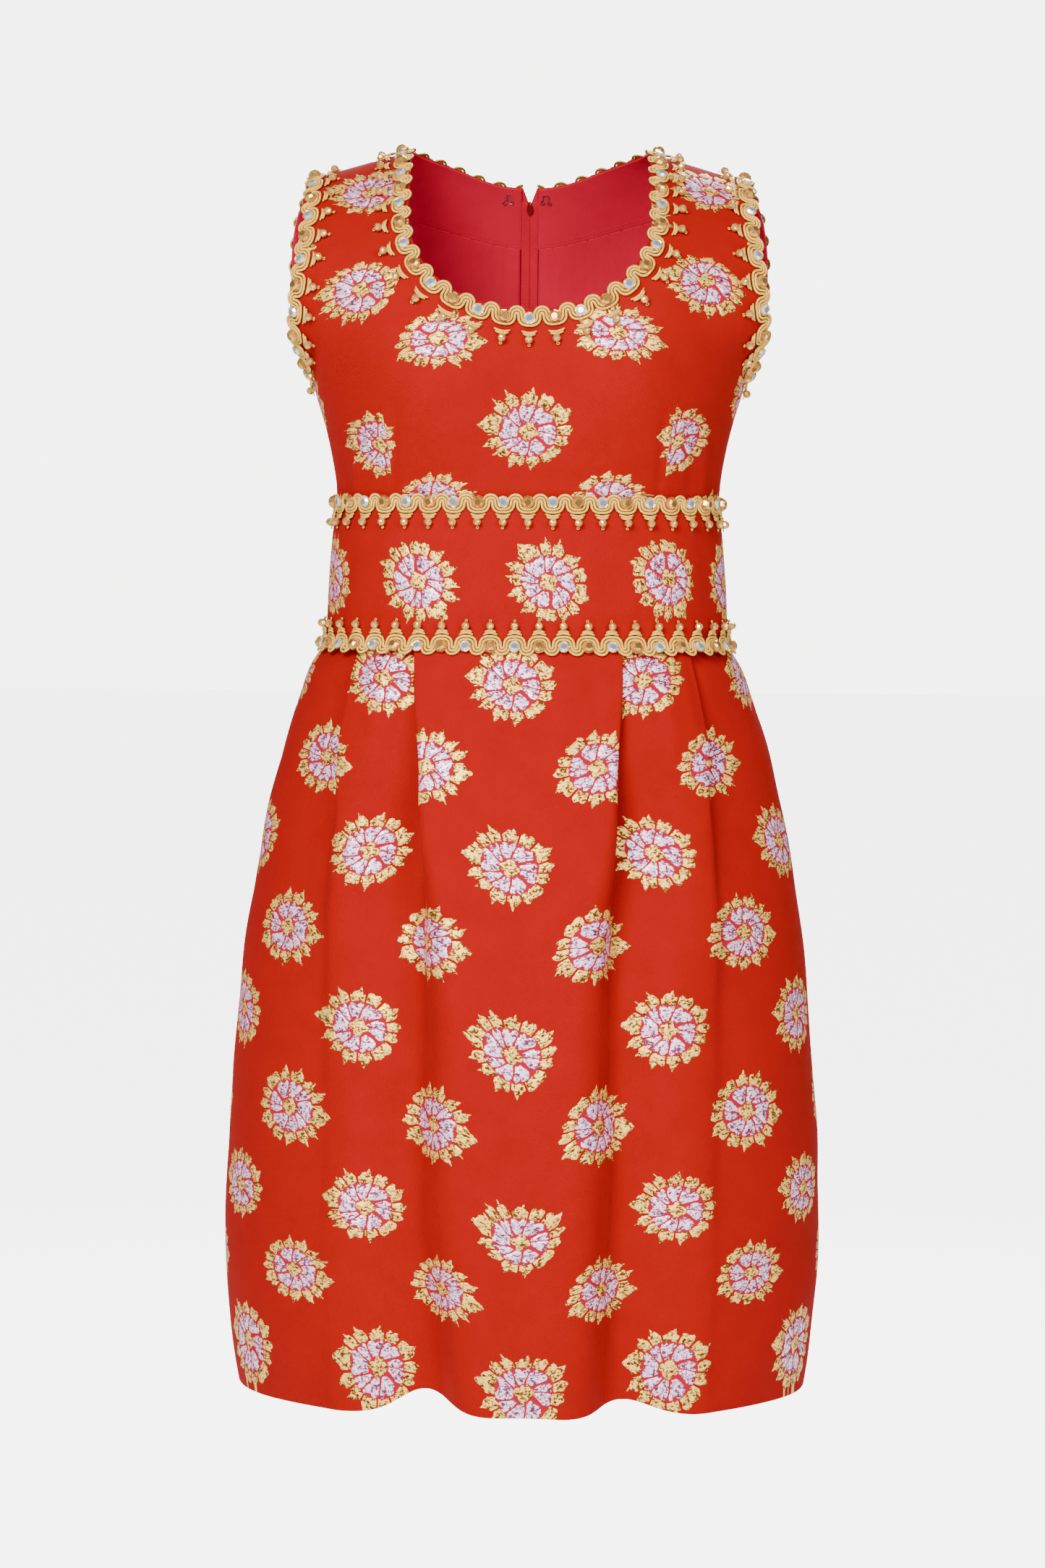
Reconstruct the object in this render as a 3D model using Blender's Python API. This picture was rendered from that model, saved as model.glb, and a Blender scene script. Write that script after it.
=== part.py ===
"""A sleeveless cocktail dress: fitted bodice, midriff band and pleated barrel skirt, with jewelled braid.

Metres, +Z up. The front faces -Y and the picture's right is +X. The origin lies midway between the two
neck points, at the level where a wearer's shoulders carry the dress. Left and right are the picture's.
"""

import math
from typing import NamedTuple

import bmesh
import bpy
import numpy as np
from mathutils import Matrix, Vector
from mathutils.bvhtree import BVHTree

# Cloth
WALL = 0.0011
SEAM_GAP = 0.0004
LINER_GAP = 0.0003
LINER_WALL = 0.0010
TAPE_WALL = 0.0008

# Levels of the seams and edges
SHOULDER_SLOPE = 0.29
NECK_HALF = 0.088
NECK_STRAIGHT_Z = -0.050
NECK_FRONT_Z = -0.1247
NECK_BACK_Z = -0.0215
NECK_POWER = 2.15
SHOULDER_END = 0.164
UNDERARM_Z = -0.160
EMPIRE_Z = -0.261
WAIST_Z = -0.364
HEM_Z = -0.916

# Figure under the cloth
SECTION_POWER = 2.35
ROLL_HEIGHT = 0.120
ROLL_START = 1.8
ROLL_END = 0.6
CUP_X = 0.080
CUP_Z = -0.170
CUP_RISE = 0.020
CUP_WIDTH = 0.042
CUP_HEIGHT = 0.043
CUP_FADE = 0.030

# Zip and fastenings
ZIP_END_Z = -0.500
ZIP_TOP_Z = -0.040
TAPE_WIDTH = 0.0062
LINER_START = 0.0070
SLIDER_Z = -0.0340
NOTCH_Z = -0.0300
NOTCH_HALF = 0.0050
SLIDER_PART = 0.0014
WIRE_RADIUS = 0.0004
SLIDER_WIDTH = 0.0046
SLIDER_LENGTH = 0.0085
SLIDER_CLEAR = 0.0007
PLATE = 0.0012
BRIDGE_RADIUS = 0.0023
BRIDGE_WIRE = 0.0005
HINGE_OUT = 0.0011
PULL_THICK = 0.0008
PULL_WIDTH = 0.0038
PULL_LENGTH = 0.0160

# Braid
# The edge braids lie on the side of their edge that is away from its opening's middle.
NECK_MIDDLE = (0.0, 0.0, -0.03)
ARMHOLE_MIDDLE = (0.175, 0.0, -0.09)
EDGE_STEP = 0.004
BRAID_END_GAP = 0.0005
BRAID_PITCH = 0.018
BRAID_GAP = 0.0008
BRAID_EMPIRE_Z = -0.2535
BRAID_WAIST_Z = -0.3715

# How close the braid's facets may come to the cloth, and how the search for that goes
BRAID_CLEAR = 0.0007
LIFT_PASSES = 6
FACET_SAMPLES = (0.0, 0.2, 0.4, 0.6, 0.8, 1.0)

# Rows and columns of the panels' grids. The named rows and shares are where one edge passes into the next.
UNDERARM_SHARE = 0.38
FRONT_ROWS = (0, 0.13, 0.26, 0.38, 0.44, 0.50, 0.57, 0.65, 0.74, 0.83, 0.91, 0.965, 1)
FRONT_COLUMNS = 26
FRONT_SHOULDER_SHARE = 5 / 26
BACK_ROWS = (0, 0.13, 0.26, 0.38, 0.44, 0.50, 0.57, 0.65, 0.74, 0.82, 0.88, 0.9227, 0.9645, 1)
BACK_COLUMNS = 12
BACK_NECK_SHARE = 7 / 12
FACING_ROW = 9
NOTCH_ROW = 12
MIDRIFF_ROWS = 5
MIDRIFF_COLUMNS = 22
SKIRT_ROWS = (0, 0.022, 0.06, 0.115, 0.18, 0.25, 0.35, 0.48, 0.64, 0.83, 1)
SKIRT_STATIONS = (("centre", 3), ("main", 8), ("panel", 4), ("outer", 6), ("side", 3))

EDGE_SAMPLES = 400
SECTION_SAMPLES = 96


class Panel(NamedTuple):
    """A piece of cloth: its outer points and the ways out of the cloth there, by rows and columns."""

    points: np.ndarray
    normals: np.ndarray


class Foot(NamedTuple):
    """A point of the braid on the cloth, the way out of the cloth there, and the braid's height."""

    place: Vector
    up: Vector
    height: float


class Level(NamedTuple):
    """The figure at one height: half width, and how deep its front and back stand from the side seams."""

    z: float
    half_width: float
    front: float
    back: float


class EdgePoint(NamedTuple):
    """One point of an armhole's edge, seen from the front."""

    x: float
    z: float


class Fold(NamedTuple):
    """A pleat at one height: where its top layer ends, and how far and how tightly the cloth turns under."""

    z: float
    left: float
    right: float
    turn: float
    edge_radius: float
    middle: float
    valley_radius: float


class BraidStation(NamedTuple):
    """The braid's outline at one phase of a unit: its two edges, and how high each stands off the cloth."""

    phase: float
    near: float
    far: float
    near_height: float
    far_height: float


BODICE_LEVELS = (
    Level(-0.261, 0.1415, 0.0980, 0.0840),
    Level(-0.240, 0.1432, 0.1010, 0.0880),
    Level(-0.208, 0.1496, 0.1070, 0.0920),
    Level(-0.185, 0.1565, 0.1100, 0.0940),
    Level(-0.160, 0.1650, 0.1125, 0.0950),
    Level(-0.130, 0.1950, 0.1135, 0.0960),
    Level(-0.100, 0.2150, 0.1140, 0.0955),
    Level(-0.060, 0.2300, 0.1140, 0.0940),
    Level(0.030, 0.2450, 0.1140, 0.0920),
)
MIDRIFF_LEVELS = (
    Level(-0.364, 0.1500, 0.1050, 0.0900),
    Level(-0.320, 0.1475, 0.1025, 0.0880),
    Level(-0.290, 0.1456, 0.1005, 0.0860),
    Level(-0.261, 0.1415, 0.0980, 0.0840),
)
SKIRT_LEVELS = (
    Level(-0.930, 0.2100, 0.1710, 0.1520),
    Level(-0.8816, 0.2171, 0.1755, 0.1570),
    Level(-0.8376, 0.2214, 0.1770, 0.1600),
    Level(-0.7937, 0.2228, 0.1765, 0.1610),
    Level(-0.7499, 0.2214, 0.1745, 0.1600),
    Level(-0.6843, 0.2176, 0.1695, 0.1560),
    Level(-0.6189, 0.2120, 0.1630, 0.1500),
    Level(-0.5537, 0.2041, 0.1550, 0.1420),
    Level(-0.5103, 0.1966, 0.1480, 0.1340),
    Level(-0.4669, 0.1868, 0.1390, 0.1240),
    Level(-0.4236, 0.1755, 0.1270, 0.1120),
    Level(-0.4020, 0.1685, 0.1200, 0.1050),
    Level(-0.3804, 0.1605, 0.1115, 0.0970),
    Level(-0.3640, 0.1500, 0.1050, 0.0900),
)
FRONT_ARMHOLE = (
    EdgePoint(0.1650, -0.160),
    EdgePoint(0.1735, -0.140),
    EdgePoint(0.1735, -0.120),
    EdgePoint(0.1705, -0.090),
    EdgePoint(0.1660, -0.055),
    EdgePoint(0.1640, -0.022),
)
BACK_ARMHOLE = (
    EdgePoint(0.1650, -0.160),
    EdgePoint(0.1735, -0.143),
    EdgePoint(0.1770, -0.120),
    EdgePoint(0.1800, -0.085),
    EdgePoint(0.1760, -0.050),
    EdgePoint(0.1640, -0.022),
)
BACK_NECK = (
    EdgePoint(0.0880, 0.0000),
    EdgePoint(0.0570, -0.0086),
    EdgePoint(0.0250, -0.0185),
    EdgePoint(0.0000, -0.0215),
)
MAIN_FOLD = (
    Fold(-0.930, 0.0190, 0.0275, 55, 0.0320, 0.0160, 0.0200),
    Fold(-0.750, 0.0405, 0.0327, 50, 0.0300, 0.0175, 0.0180),
    Fold(-0.620, 0.0454, 0.0356, 60, 0.0260, 0.0140, 0.0160),
    Fold(-0.550, 0.0567, 0.0449, 75, 0.0180, 0.0120, 0.0120),
    Fold(-0.500, 0.0690, 0.0580, 105, 0.0095, 0.0110, 0.0080),
    Fold(-0.450, 0.0740, 0.0630, 155, 0.0042, 0.0130, 0.0030),
    Fold(-0.400, 0.0800, 0.0680, 174, 0.0024, 0.0130, 0.0012),
    Fold(-0.364, 0.0820, 0.0690, 180, 0.0016, 0.0130, 0.0005),
)
OUTER_FOLD = (
    Fold(-0.930, 0.1500, 0.1460, 6, 0.0300, 0.0040, 0.0300),
    Fold(-0.750, 0.1520, 0.1480, 8, 0.0300, 0.0040, 0.0300),
    Fold(-0.600, 0.1540, 0.1500, 20, 0.0240, 0.0040, 0.0240),
    Fold(-0.500, 0.1520, 0.1480, 45, 0.0110, 0.0040, 0.0110),
    Fold(-0.440, 0.1480, 0.1430, 95, 0.0042, 0.0050, 0.0035),
    Fold(-0.400, 0.1390, 0.1340, 160, 0.0024, 0.0080, 0.0012),
    Fold(-0.364, 0.1300, 0.1250, 180, 0.0016, 0.0090, 0.0005),
)
# How much of the main pleat's step is left where the outer pleat begins.
MAIN_STEP_KEPT = 0.45

# Hem rises over the valleys between the lobes: where, how far and how wide.
LEFT_RISE = (-0.075, 0.018, 0.030)
RIGHT_RISE = (0.082, 0.011, 0.030)
CENTRE_RISE = (0.0, 0.005, 0.050)

BRAID_UNIT = (
    BraidStation(0.00, -0.0012, 0.0105, 0.0030, 0.0030),
    BraidStation(0.38, 0.0014, 0.0146, 0.0034, 0.0034),
    BraidStation(0.50, 0.0022, 0.0264, 0.0056, 0.0058),
    BraidStation(0.62, 0.0014, 0.0146, 0.0034, 0.0034),
)

RED = (0.66, 0.035, 0.018)
LINING_RED = (0.74, 0.045, 0.060)
GOLD = (0.78, 0.56, 0.22)
RED_ENAMEL = (0.60, 0.04, 0.05)
SILVER = (0.80, 0.76, 0.78)

FRONT = -1
BACK = 1


def clear_scene():
    for item in list(bpy.data.objects):
        bpy.data.objects.remove(item, do_unlink=True)


def material(name, colour, roughness, metallic=0.0):
    made = bpy.data.materials.new(name)
    made.use_nodes = True
    shader = made.node_tree.nodes["Principled BSDF"]
    shader.inputs["Base Color"].default_value = (*colour, 1.0)
    shader.inputs["Roughness"].default_value = roughness
    shader.inputs["Metallic"].default_value = metallic
    return made


def curve_through(places, values, at):
    """A smooth curve through the values, read at the given places."""
    places = np.asarray(places, float)
    values = np.asarray(values, float)
    order = np.argsort(places)
    places = places[order]
    values = values[order]
    slopes = np.gradient(values, places)
    at = np.clip(at, places[0], places[-1])
    index = np.clip(np.searchsorted(places, at) - 1, 0, len(places) - 2)
    span = places[index + 1] - places[index]
    t = (at - places[index]) / span
    rise = values[index + 1] - values[index]
    start = slopes[index] * span
    end = slopes[index + 1] * span
    return values[index] + t * (start + t * (3 * rise - 2 * start - end + t * (start + end - 2 * rise)))


def column(table, name):
    return [getattr(row, name) for row in table]


def figure(levels, z):
    """Half width, front depth and back depth at each height."""
    heights = column(levels, "z")
    return [curve_through(heights, column(levels, name), z) for name in ("half_width", "front", "back")]


def ease(t):
    t = np.clip(t, 0.0, 1.0)
    return t * t * (3 - 2 * t)


def shoulder_roll(x, z):
    """How much of the depth is left towards the shoulder's ridge, where front and back meet."""
    below = z + SHOULDER_SLOPE * (np.abs(x) - NECK_HALF)
    climbed = np.clip((below + ROLL_HEIGHT) / ROLL_HEIGHT, 0.0, 1.0)
    return (1 - climbed**ROLL_START) ** ROLL_END


def cup(x, z):
    spread = ((np.abs(x) - CUP_X) / CUP_WIDTH) ** 2 + ((z - CUP_Z) / CUP_HEIGHT) ** 2
    return CUP_RISE * np.exp(-0.5 * spread) * ease((z - EMPIRE_Z) / CUP_FADE)


def body_point(levels, angle, z, side):
    """A point of the cloth's outside. The angle is 0 at the centre and 90 degrees at the side seam."""
    half_width, front, back = figure(levels, z)
    across = np.sin(angle)
    depth = front if side == FRONT else back
    depth = depth * (1 - np.abs(across) ** SECTION_POWER).clip(0) ** (1 / SECTION_POWER)
    x = half_width * across
    if levels is BODICE_LEVELS:
        depth = depth * shoulder_roll(x, z)
        if side == FRONT:
            depth = depth + cup(x, z)
    return np.stack([x, side * (SEAM_GAP / 2 + depth), z + 0 * x], axis=-1)


def unit(vectors):
    return vectors / np.linalg.norm(vectors, axis=-1, keepdims=True).clip(1e-12)


def facing_out(normals, points):
    """The normals turned to point away from the body's upright axis, or up at the shoulder's ridge."""
    outward = points * [1, 1, 0] + [0, 0, 0.05]
    return normals * np.where((normals * outward).sum(-1, keepdims=True) < 0, -1, 1)


def body_normal(levels, angle, z, side):
    step_angle = 1e-4
    step_z = 1e-4
    low = np.clip(angle - step_angle, -np.pi / 2, np.pi / 2)
    high = np.clip(angle + step_angle, -np.pi / 2, np.pi / 2)
    around = body_point(levels, high, z, side) - body_point(levels, low, z, side)
    along = body_point(levels, angle, z, side) - body_point(levels, angle, z - step_z, side)
    return facing_out(unit(np.cross(around, along)), body_point(levels, angle, z, side))


def evenly(points, places=None):
    """A function of 0 to 1 that walks along the points at an even pace.

    The pace is measured along their places, if these are given.
    """
    points = np.asarray(points, float)
    lengths = np.linalg.norm(np.diff(points if places is None else places, axis=0), axis=1)
    walked = np.concatenate([[0], np.cumsum(lengths)])

    def walk(t):
        at = np.asarray(t) * walked[-1]
        return np.stack([np.interp(at, walked, points[:, k]) for k in range(points.shape[1])], axis=-1)

    return walk


def joined(*stretches):
    """Joins (share, function) pairs into one function of 0 to 1."""
    ends = np.cumsum([share for share, _ in stretches])

    def walk(t):
        t = np.asarray(t, float)
        result = stretches[0][1](np.clip(t / ends[0], 0, 1))
        for (_, stretch), begin, end in zip(stretches[1:], ends, ends[1:]):
            part = stretch(np.clip((t - begin) / (end - begin), 0, 1))
            result = np.where((t > begin)[..., None], part, result)
        return result

    return walk


def as_angle(points):
    """Turns (x, z) into (angle, z) on the bodice's figure."""
    x, z = points[..., 0], points[..., 1]
    half_width = figure(BODICE_LEVELS, z)[0]
    return np.stack([np.arcsin(np.clip(x / half_width, -1, 1)), z], axis=-1)


def through(table):
    """A smooth (x, z) line through an edge's table."""
    steps = np.arange(len(table))
    fine = np.linspace(0, len(table) - 1, EDGE_SAMPLES)
    return np.stack([curve_through(steps, column(table, name), fine) for name in ("x", "z")], axis=-1)


def side_edge(armhole, side, start_z):
    """The panel's outer edge: up the side seam, then round the armhole to the shoulder."""
    heights = np.linspace(start_z, UNDERARM_Z, 40)
    seam = np.stack([figure(BODICE_LEVELS, heights)[0], heights], axis=-1)
    opening = through(armhole)
    angle, z = as_angle(opening).T
    round_opening = evenly(opening, body_point(BODICE_LEVELS, angle, z, side))
    return joined((UNDERARM_SHARE, evenly(seam)), (1 - UNDERARM_SHARE, round_opening))


def front_neck():
    """Half of the scoop, from the neck point down and in to the centre front."""
    turn = np.linspace(0, np.pi / 2, EDGE_SAMPLES // 2)
    power = 2 / NECK_POWER
    depth = NECK_STRAIGHT_Z - NECK_FRONT_Z
    bowl = np.stack([NECK_HALF * np.cos(turn) ** power, NECK_STRAIGHT_Z - depth * np.sin(turn) ** power], -1)
    return np.concatenate([[[NECK_HALF, 0.0]], bowl])


def shoulder():
    """From the shoulder end to the neck point."""
    return np.array([[SHOULDER_END, -SHOULDER_SLOPE * (SHOULDER_END - NECK_HALF)], [NECK_HALF, 0.0]])


def coons(bottom, top, left, right, across, up):
    """Fills four edges, given as functions of 0 to 1, with a grid of (angle, z)."""
    s = np.asarray(across)[None, :, None]
    v = np.asarray(up)[:, None, None]
    low, high = bottom(across)[None], top(across)[None]
    begin, end = left(up)[:, None], right(up)[:, None]
    corners = (1 - s) * (1 - v) * low[:, :1] + s * (1 - v) * low[:, -1:]
    corners = corners + (1 - s) * v * high[:, :1] + s * v * high[:, -1:]
    return (1 - v) * low + v * high + (1 - s) * begin + s * end - corners


def front_bodice_grid():
    """The (angle, z) grid of the bodice front."""
    half = [(FRONT_SHOULDER_SHARE, shoulder()), (0.5 - FRONT_SHOULDER_SHARE, front_neck())]
    left = [(share, evenly(points * [-1, 1])) for share, points in half]
    right = [(share, evenly(points[::-1])) for share, points in half[::-1]]
    top = joined(*left, *right)
    stops = (0, FRONT_SHOULDER_SHARE, 0.28, 0.5, 0.72, 1 - FRONT_SHOULDER_SHARE, 1)
    bottom_angles = np.radians((-90, -60, -44, 0, 44, 60, 90))
    edge = side_edge(FRONT_ARMHOLE, FRONT, EMPIRE_Z + SEAM_GAP / 2)

    def bottom(s):
        return np.stack([np.interp(s, stops, bottom_angles), np.full(len(s), EMPIRE_Z + SEAM_GAP / 2)], -1)

    across = np.linspace(0, 1, FRONT_COLUMNS + 1)
    grid = coons(
        bottom,
        lambda s: as_angle(top(s)),
        lambda v: as_angle(edge(v) * [-1, 1]),
        lambda v: as_angle(edge(v)),
        across,
        FRONT_ROWS,
    )
    return unfolded(grid, ease(np.minimum(across, 1 - across) / FRONT_SHOULDER_SHARE))


def unfolded(grid, share):
    """Spaces the rows by height where the share is 1, so that none doubles back under the scoop."""
    result = grid.copy()
    for j, part in enumerate(share):
        angle, z = grid[:, j].T
        climbing = np.maximum.accumulate(z + 1e-6 * np.arange(len(z)))
        heights = climbing[0] + (climbing[-1] - climbing[0]) * np.array(FRONT_ROWS)
        spaced = np.stack([np.interp(heights, climbing, angle), heights], -1)
        result[:, j] = grid[:, j] * (1 - part) + spaced * part
    return result


def centre_back(z):
    """How far the back's edge stands from the zip's line: a hair below the slider, a V above it."""
    at_slider = SLIDER_PART * ease((z - ZIP_TOP_Z) / 0.003)
    above = np.clip((z - NOTCH_Z) / (NECK_BACK_Z - NOTCH_Z), 0, 1)
    return SEAM_GAP / 2 + 0.0002 + at_slider + (NOTCH_HALF - SLIDER_PART) * above


def back_bodice_grid():
    """The (angle, z) grid of the back's right half, from the zip out.

    The zip's tape lies on its first column.
    """
    bottom_z = EMPIRE_Z + SEAM_GAP / 2
    neck = through(BACK_NECK)[::-1]
    neck = neck[neck[:, 0] >= LINER_START]
    top = joined((BACK_NECK_SHARE, evenly(neck)), (1 - BACK_NECK_SHARE, evenly(shoulder()[::-1])))
    edge = side_edge(BACK_ARMHOLE, BACK, bottom_z)
    start_x, start_z = neck[0]
    beside_tape = evenly([[start_x, bottom_z], [start_x, start_z]])
    start = as_angle(np.array([start_x, bottom_z]))[0]

    def bottom(s):
        return np.stack([start + (np.pi / 2 - start) * s, np.full(len(s), bottom_z)], -1)

    grid = coons(
        bottom,
        lambda s: as_angle(top(s)),
        lambda v: as_angle(beside_tape(v)),
        lambda v: as_angle(edge(v)),
        np.linspace(0, 1, BACK_COLUMNS + 1),
        BACK_ROWS,
    )
    heights = grid[:, :1, 1]
    return np.concatenate([as_angle(np.stack([centre_back(heights), heights], -1)), grid], axis=1)


def grid_triangles(rows, columns):
    """The triangles of a grid, as places in its flat list of points."""
    corners = [i * columns + j for i in range(rows - 1) for j in range(columns - 1)]
    lower = [(a, a + 1, a + columns + 1) for a in corners]
    return lower + [(a, a + columns + 1, a + columns) for a in corners]


def shell(name, outer, inner, look):
    """A closed wall between two grids of points."""
    rows, columns = outer.shape[:2]
    made = bmesh.new()
    sides = [[made.verts.new(p) for p in grid.reshape(-1, 3)] for grid in (outer, inner)]
    for side in sides:
        for triangle in grid_triangles(rows, columns):
            made.faces.new([side[k] for k in triangle])
    rim = list(range(columns))
    rim += [(i + 1) * columns - 1 for i in range(1, rows)]
    rim += [(rows - 1) * columns + j for j in range(columns - 2, -1, -1)]
    rim += [i * columns for i in range(rows - 2, 0, -1)]
    for one, two in zip(rim, rim[1:] + rim[:1]):
        made.faces.new((sides[0][one], sides[0][two], sides[1][two], sides[1][one]))
    return finish(name, made, look)


def finish(name, made, look):
    """Turns the bmesh into a smooth-shaded object with its normals facing out."""
    bmesh.ops.recalc_face_normals(made, faces=made.faces)
    mesh = bpy.data.meshes.new(name)
    made.to_mesh(mesh)
    made.free()
    mesh.materials.append(look)
    mesh.shade_smooth()
    mesh.set_sharp_from_angle(angle=math.radians(40))
    placed = bpy.data.objects.new(name, mesh)
    bpy.data.collections["cocktail_dress"].objects.link(placed)
    return placed


def flip(points, sign):
    return points * [sign, 1, 1]


def panel_on(levels, grid, side):
    """A panel over an (angle, z) grid of the figure."""
    angle, z = grid[..., 0], grid[..., 1]
    return Panel(body_point(levels, angle, z, side), body_normal(levels, angle, z, side))


def mirrored(panel, sign):
    return Panel(flip(panel.points, sign), flip(panel.normals, sign))


def cut_from(panel, rows, columns):
    return Panel(panel.points[rows, columns], panel.normals[rows, columns])


def wall(name, panel, look, inset=0.0, thickness=WALL):
    """A cloth wall with its outside on the panel, or inset below it."""
    outer = panel.points - panel.normals * inset
    shell(name, outer, outer - panel.normals * thickness, look)


def bodice(look, lining_look):
    """The bodice's three panels with the back's facing and lining."""
    panels = {"bodice_front": panel_on(BODICE_LEVELS, front_bodice_grid(), FRONT)}
    wall("bodice_front", panels["bodice_front"], look)
    half = panel_on(BODICE_LEVELS, back_bodice_grid(), BACK)
    for hand, sign in (("left", -1), ("right", 1)):
        panel = mirrored(half, sign)
        panels[f"bodice_back_{hand}"] = panel
        wall(f"bodice_back_{hand}", panel, look)
        line_back(hand, panel, lining_look)
    return panels


def line_back(hand, panel, look):
    """The facing round the back neck and the lining below it, on one half of the back."""
    inset = WALL + LINER_GAP
    facing = cut_from(panel, slice(FACING_ROW, None), slice(1, None))
    wall(f"facing_back_{hand}", facing, look, inset, LINER_WALL)
    lining = cut_from(panel, slice(0, FACING_ROW + 1), slice(1, None))
    points = lining.points.copy()
    down = points[-2] - points[-1]
    points[-1] += unit(down) * SEAM_GAP
    wall(f"lining_back_{hand}", Panel(points, lining.normals), look, inset, LINER_WALL)


def midriff(look):
    heights = np.linspace(WAIST_Z + SEAM_GAP / 2, EMPIRE_Z - SEAM_GAP / 2, MIDRIFF_ROWS)
    angles = np.radians(np.linspace(-90, 90, MIDRIFF_COLUMNS + 1))
    grid = np.stack(np.meshgrid(angles, heights), -1)
    panels = {"midriff_front": panel_on(MIDRIFF_LEVELS, grid, FRONT)}
    wall("midriff_front", panels["midriff_front"], look)
    half_width = figure(MIDRIFF_LEVELS, heights)[0]
    beyond = np.linspace(0, 1, MIDRIFF_COLUMNS // 2)
    first = np.arcsin(LINER_START / half_width)[:, None]
    angles = np.concatenate(
        [np.arcsin(centre_back(heights) / half_width)[:, None], first + (np.pi / 2 - first) * beyond], axis=1
    )
    grid = np.stack([angles, np.repeat(heights[:, None], angles.shape[1], axis=1)], -1)
    for hand, sign in (("left", -1), ("right", 1)):
        panels[f"midriff_back_{hand}"] = mirrored(panel_on(MIDRIFF_LEVELS, grid, BACK), sign)
        wall(f"midriff_back_{hand}", panels[f"midriff_back_{hand}"], look)
    return panels


def section_run(z, side):
    """The plain section at one height: its angles, and the length walked to each from the centre."""
    angles = np.linspace(0, np.pi / 2, SECTION_SAMPLES)
    points = body_point(SKIRT_LEVELS, angles, np.full(SECTION_SAMPLES, z), side)
    walked = np.concatenate([[0], np.cumsum(np.linalg.norm(np.diff(points[:, :2], axis=0), axis=1))])
    return angles, points, walked


def fold_at(table, z, hand):
    """The pleat's sizes at one height: its start, its turn in radians and its radii and middle layer."""
    heights = column(table, "z")
    names = (hand, "turn", "edge_radius", "middle", "valley_radius")
    start, turn, edge, flat, valley = [float(curve_through(heights, column(table, n), z)) for n in names]
    return start, math.radians(turn), max(edge, 0.0015), max(flat, 0.0), max(valley, 0.0004)


def through_fold(fold, t):
    """The way sideways and inwards at t of 0 to 3: round the fold's edge, back under it, and out again."""
    _, turn, edge, flat, valley = fold
    first = turn * min(t, 1.0)
    sideways = edge * math.sin(first)
    inwards = edge * (1 - math.cos(first))
    under = flat * min(max(t - 1, 0.0), 1.0)
    sideways += under * math.cos(turn)
    inwards += under * math.sin(turn)
    left = turn * (1 - min(max(t - 2, 0.0), 1.0))
    sideways += valley * (math.sin(turn) - math.sin(left))
    inwards += valley * (math.cos(left) - math.cos(turn))
    return sideways, inwards


def stations(side):
    """Every station of half a section: which stretch it is in, and how far through, from 0 to 1."""
    places = [("centre", 0.0)] if side == FRONT else [("zip", 0.0), ("zip", 1.0)]
    for name, count in SKIRT_STATIONS:
        places += [(name, k / count) for k in range(1, count + 1)]
    return places


def skirt_place(stretch, t, z, side, hand):
    """Where a station lies at one height: along the section from the centre, and in from it."""
    main = fold_at(MAIN_FOLD, z, hand)
    outer = fold_at(OUTER_FOLD, z, hand)
    main_across, main_in = through_fold(main, 3.0)
    outer_across, outer_in = through_fold(outer, 3.0)
    full = section_run(z, side)[2][-1]
    after_main = main[0] + main_across
    after_outer = outer[0] + outer_across
    kept = main_in * MAIN_STEP_KEPT
    begin = 0.0 if side == FRONT else LINER_START
    if stretch == "zip":
        edge = float(centre_back(WAIST_Z))
        return edge + (begin - edge) * t, 0.0
    if stretch == "centre":
        return begin + (main[0] - begin) * t, 0.0
    if stretch == "main":
        across, inwards = through_fold(main, 3.0 * t)
        return main[0] + across, inwards
    if stretch == "panel":
        return after_main + (outer[0] - after_main) * t, main_in + (kept - main_in) * float(ease(t))
    if stretch == "outer":
        across, inwards = through_fold(outer, 3.0 * t)
        return outer[0] + across, kept + inwards
    return after_outer + (full - after_outer) * t, (kept + outer_in) * (1 - float(ease(t)))


def hem_height(x):
    rises = (LEFT_RISE, RIGHT_RISE, CENTRE_RISE)
    return HEM_Z + sum(rise * math.exp(-(((x - at) / width) ** 2)) for at, rise, width in rises)


def skirt_point(stretch, t, down, side, hand):
    """A point of the skirt, down from 0 at the waist to 1 at the hem, in either half."""
    sign = -1 if hand == "left" else 1
    hem = hem_height(sign * skirt_place(stretch, t, HEM_Z, side, hand)[0])
    z = WAIST_Z - SEAM_GAP / 2 + (hem - WAIST_Z) * down
    along, inwards = skirt_place(stretch, t, z, side, hand)
    angles, points, walked = section_run(z, side)
    angle = np.interp(along, walked, angles)
    base = body_point(SKIRT_LEVELS, np.array([angle]), np.array([z]), side)[0]
    step = 1e-3
    near = np.clip([angle - step, angle + step], -np.pi / 2, np.pi / 2)
    ends = body_point(SKIRT_LEVELS, near, np.array([z, z]), side)
    tangent = ends[1] - ends[0]
    normal = np.array([-side * tangent[1], side * tangent[0], 0.0])
    normal = normal / np.linalg.norm(normal)
    if normal @ (base * [1, 1, 0]) < 0:
        normal = -normal
    point = base - normal * inwards
    return point * [sign, 1, 1]


def skirt_half(side, hand):
    """Half of the skirt's front or back, from the centre out and from the waist down."""
    places = stations(side)
    step = 1e-3
    outside = np.empty((len(SKIRT_ROWS), len(places), 3))
    normals = np.empty_like(outside)
    for i, down in enumerate(SKIRT_ROWS):
        for j, (stretch, t) in enumerate(places):
            here = skirt_point(stretch, t, down, side, hand)
            before = skirt_point(stretch, max(t - step, 0), down, side, hand)
            after = skirt_point(stretch, min(t + step, 1), down, side, hand)
            above = skirt_point(stretch, t, max(down - step, 0), side, hand)
            below = skirt_point(stretch, t, min(down + step, 1), side, hand)
            outside[i, j] = here
            normals[i, j] = np.cross(after - before, above - below)
    # The cross product above points out of the front's right half and the back's left half.
    out = 1 if (side == FRONT) == (hand == "right") else -1
    return Panel(outside, unit(normals) * out)


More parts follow.
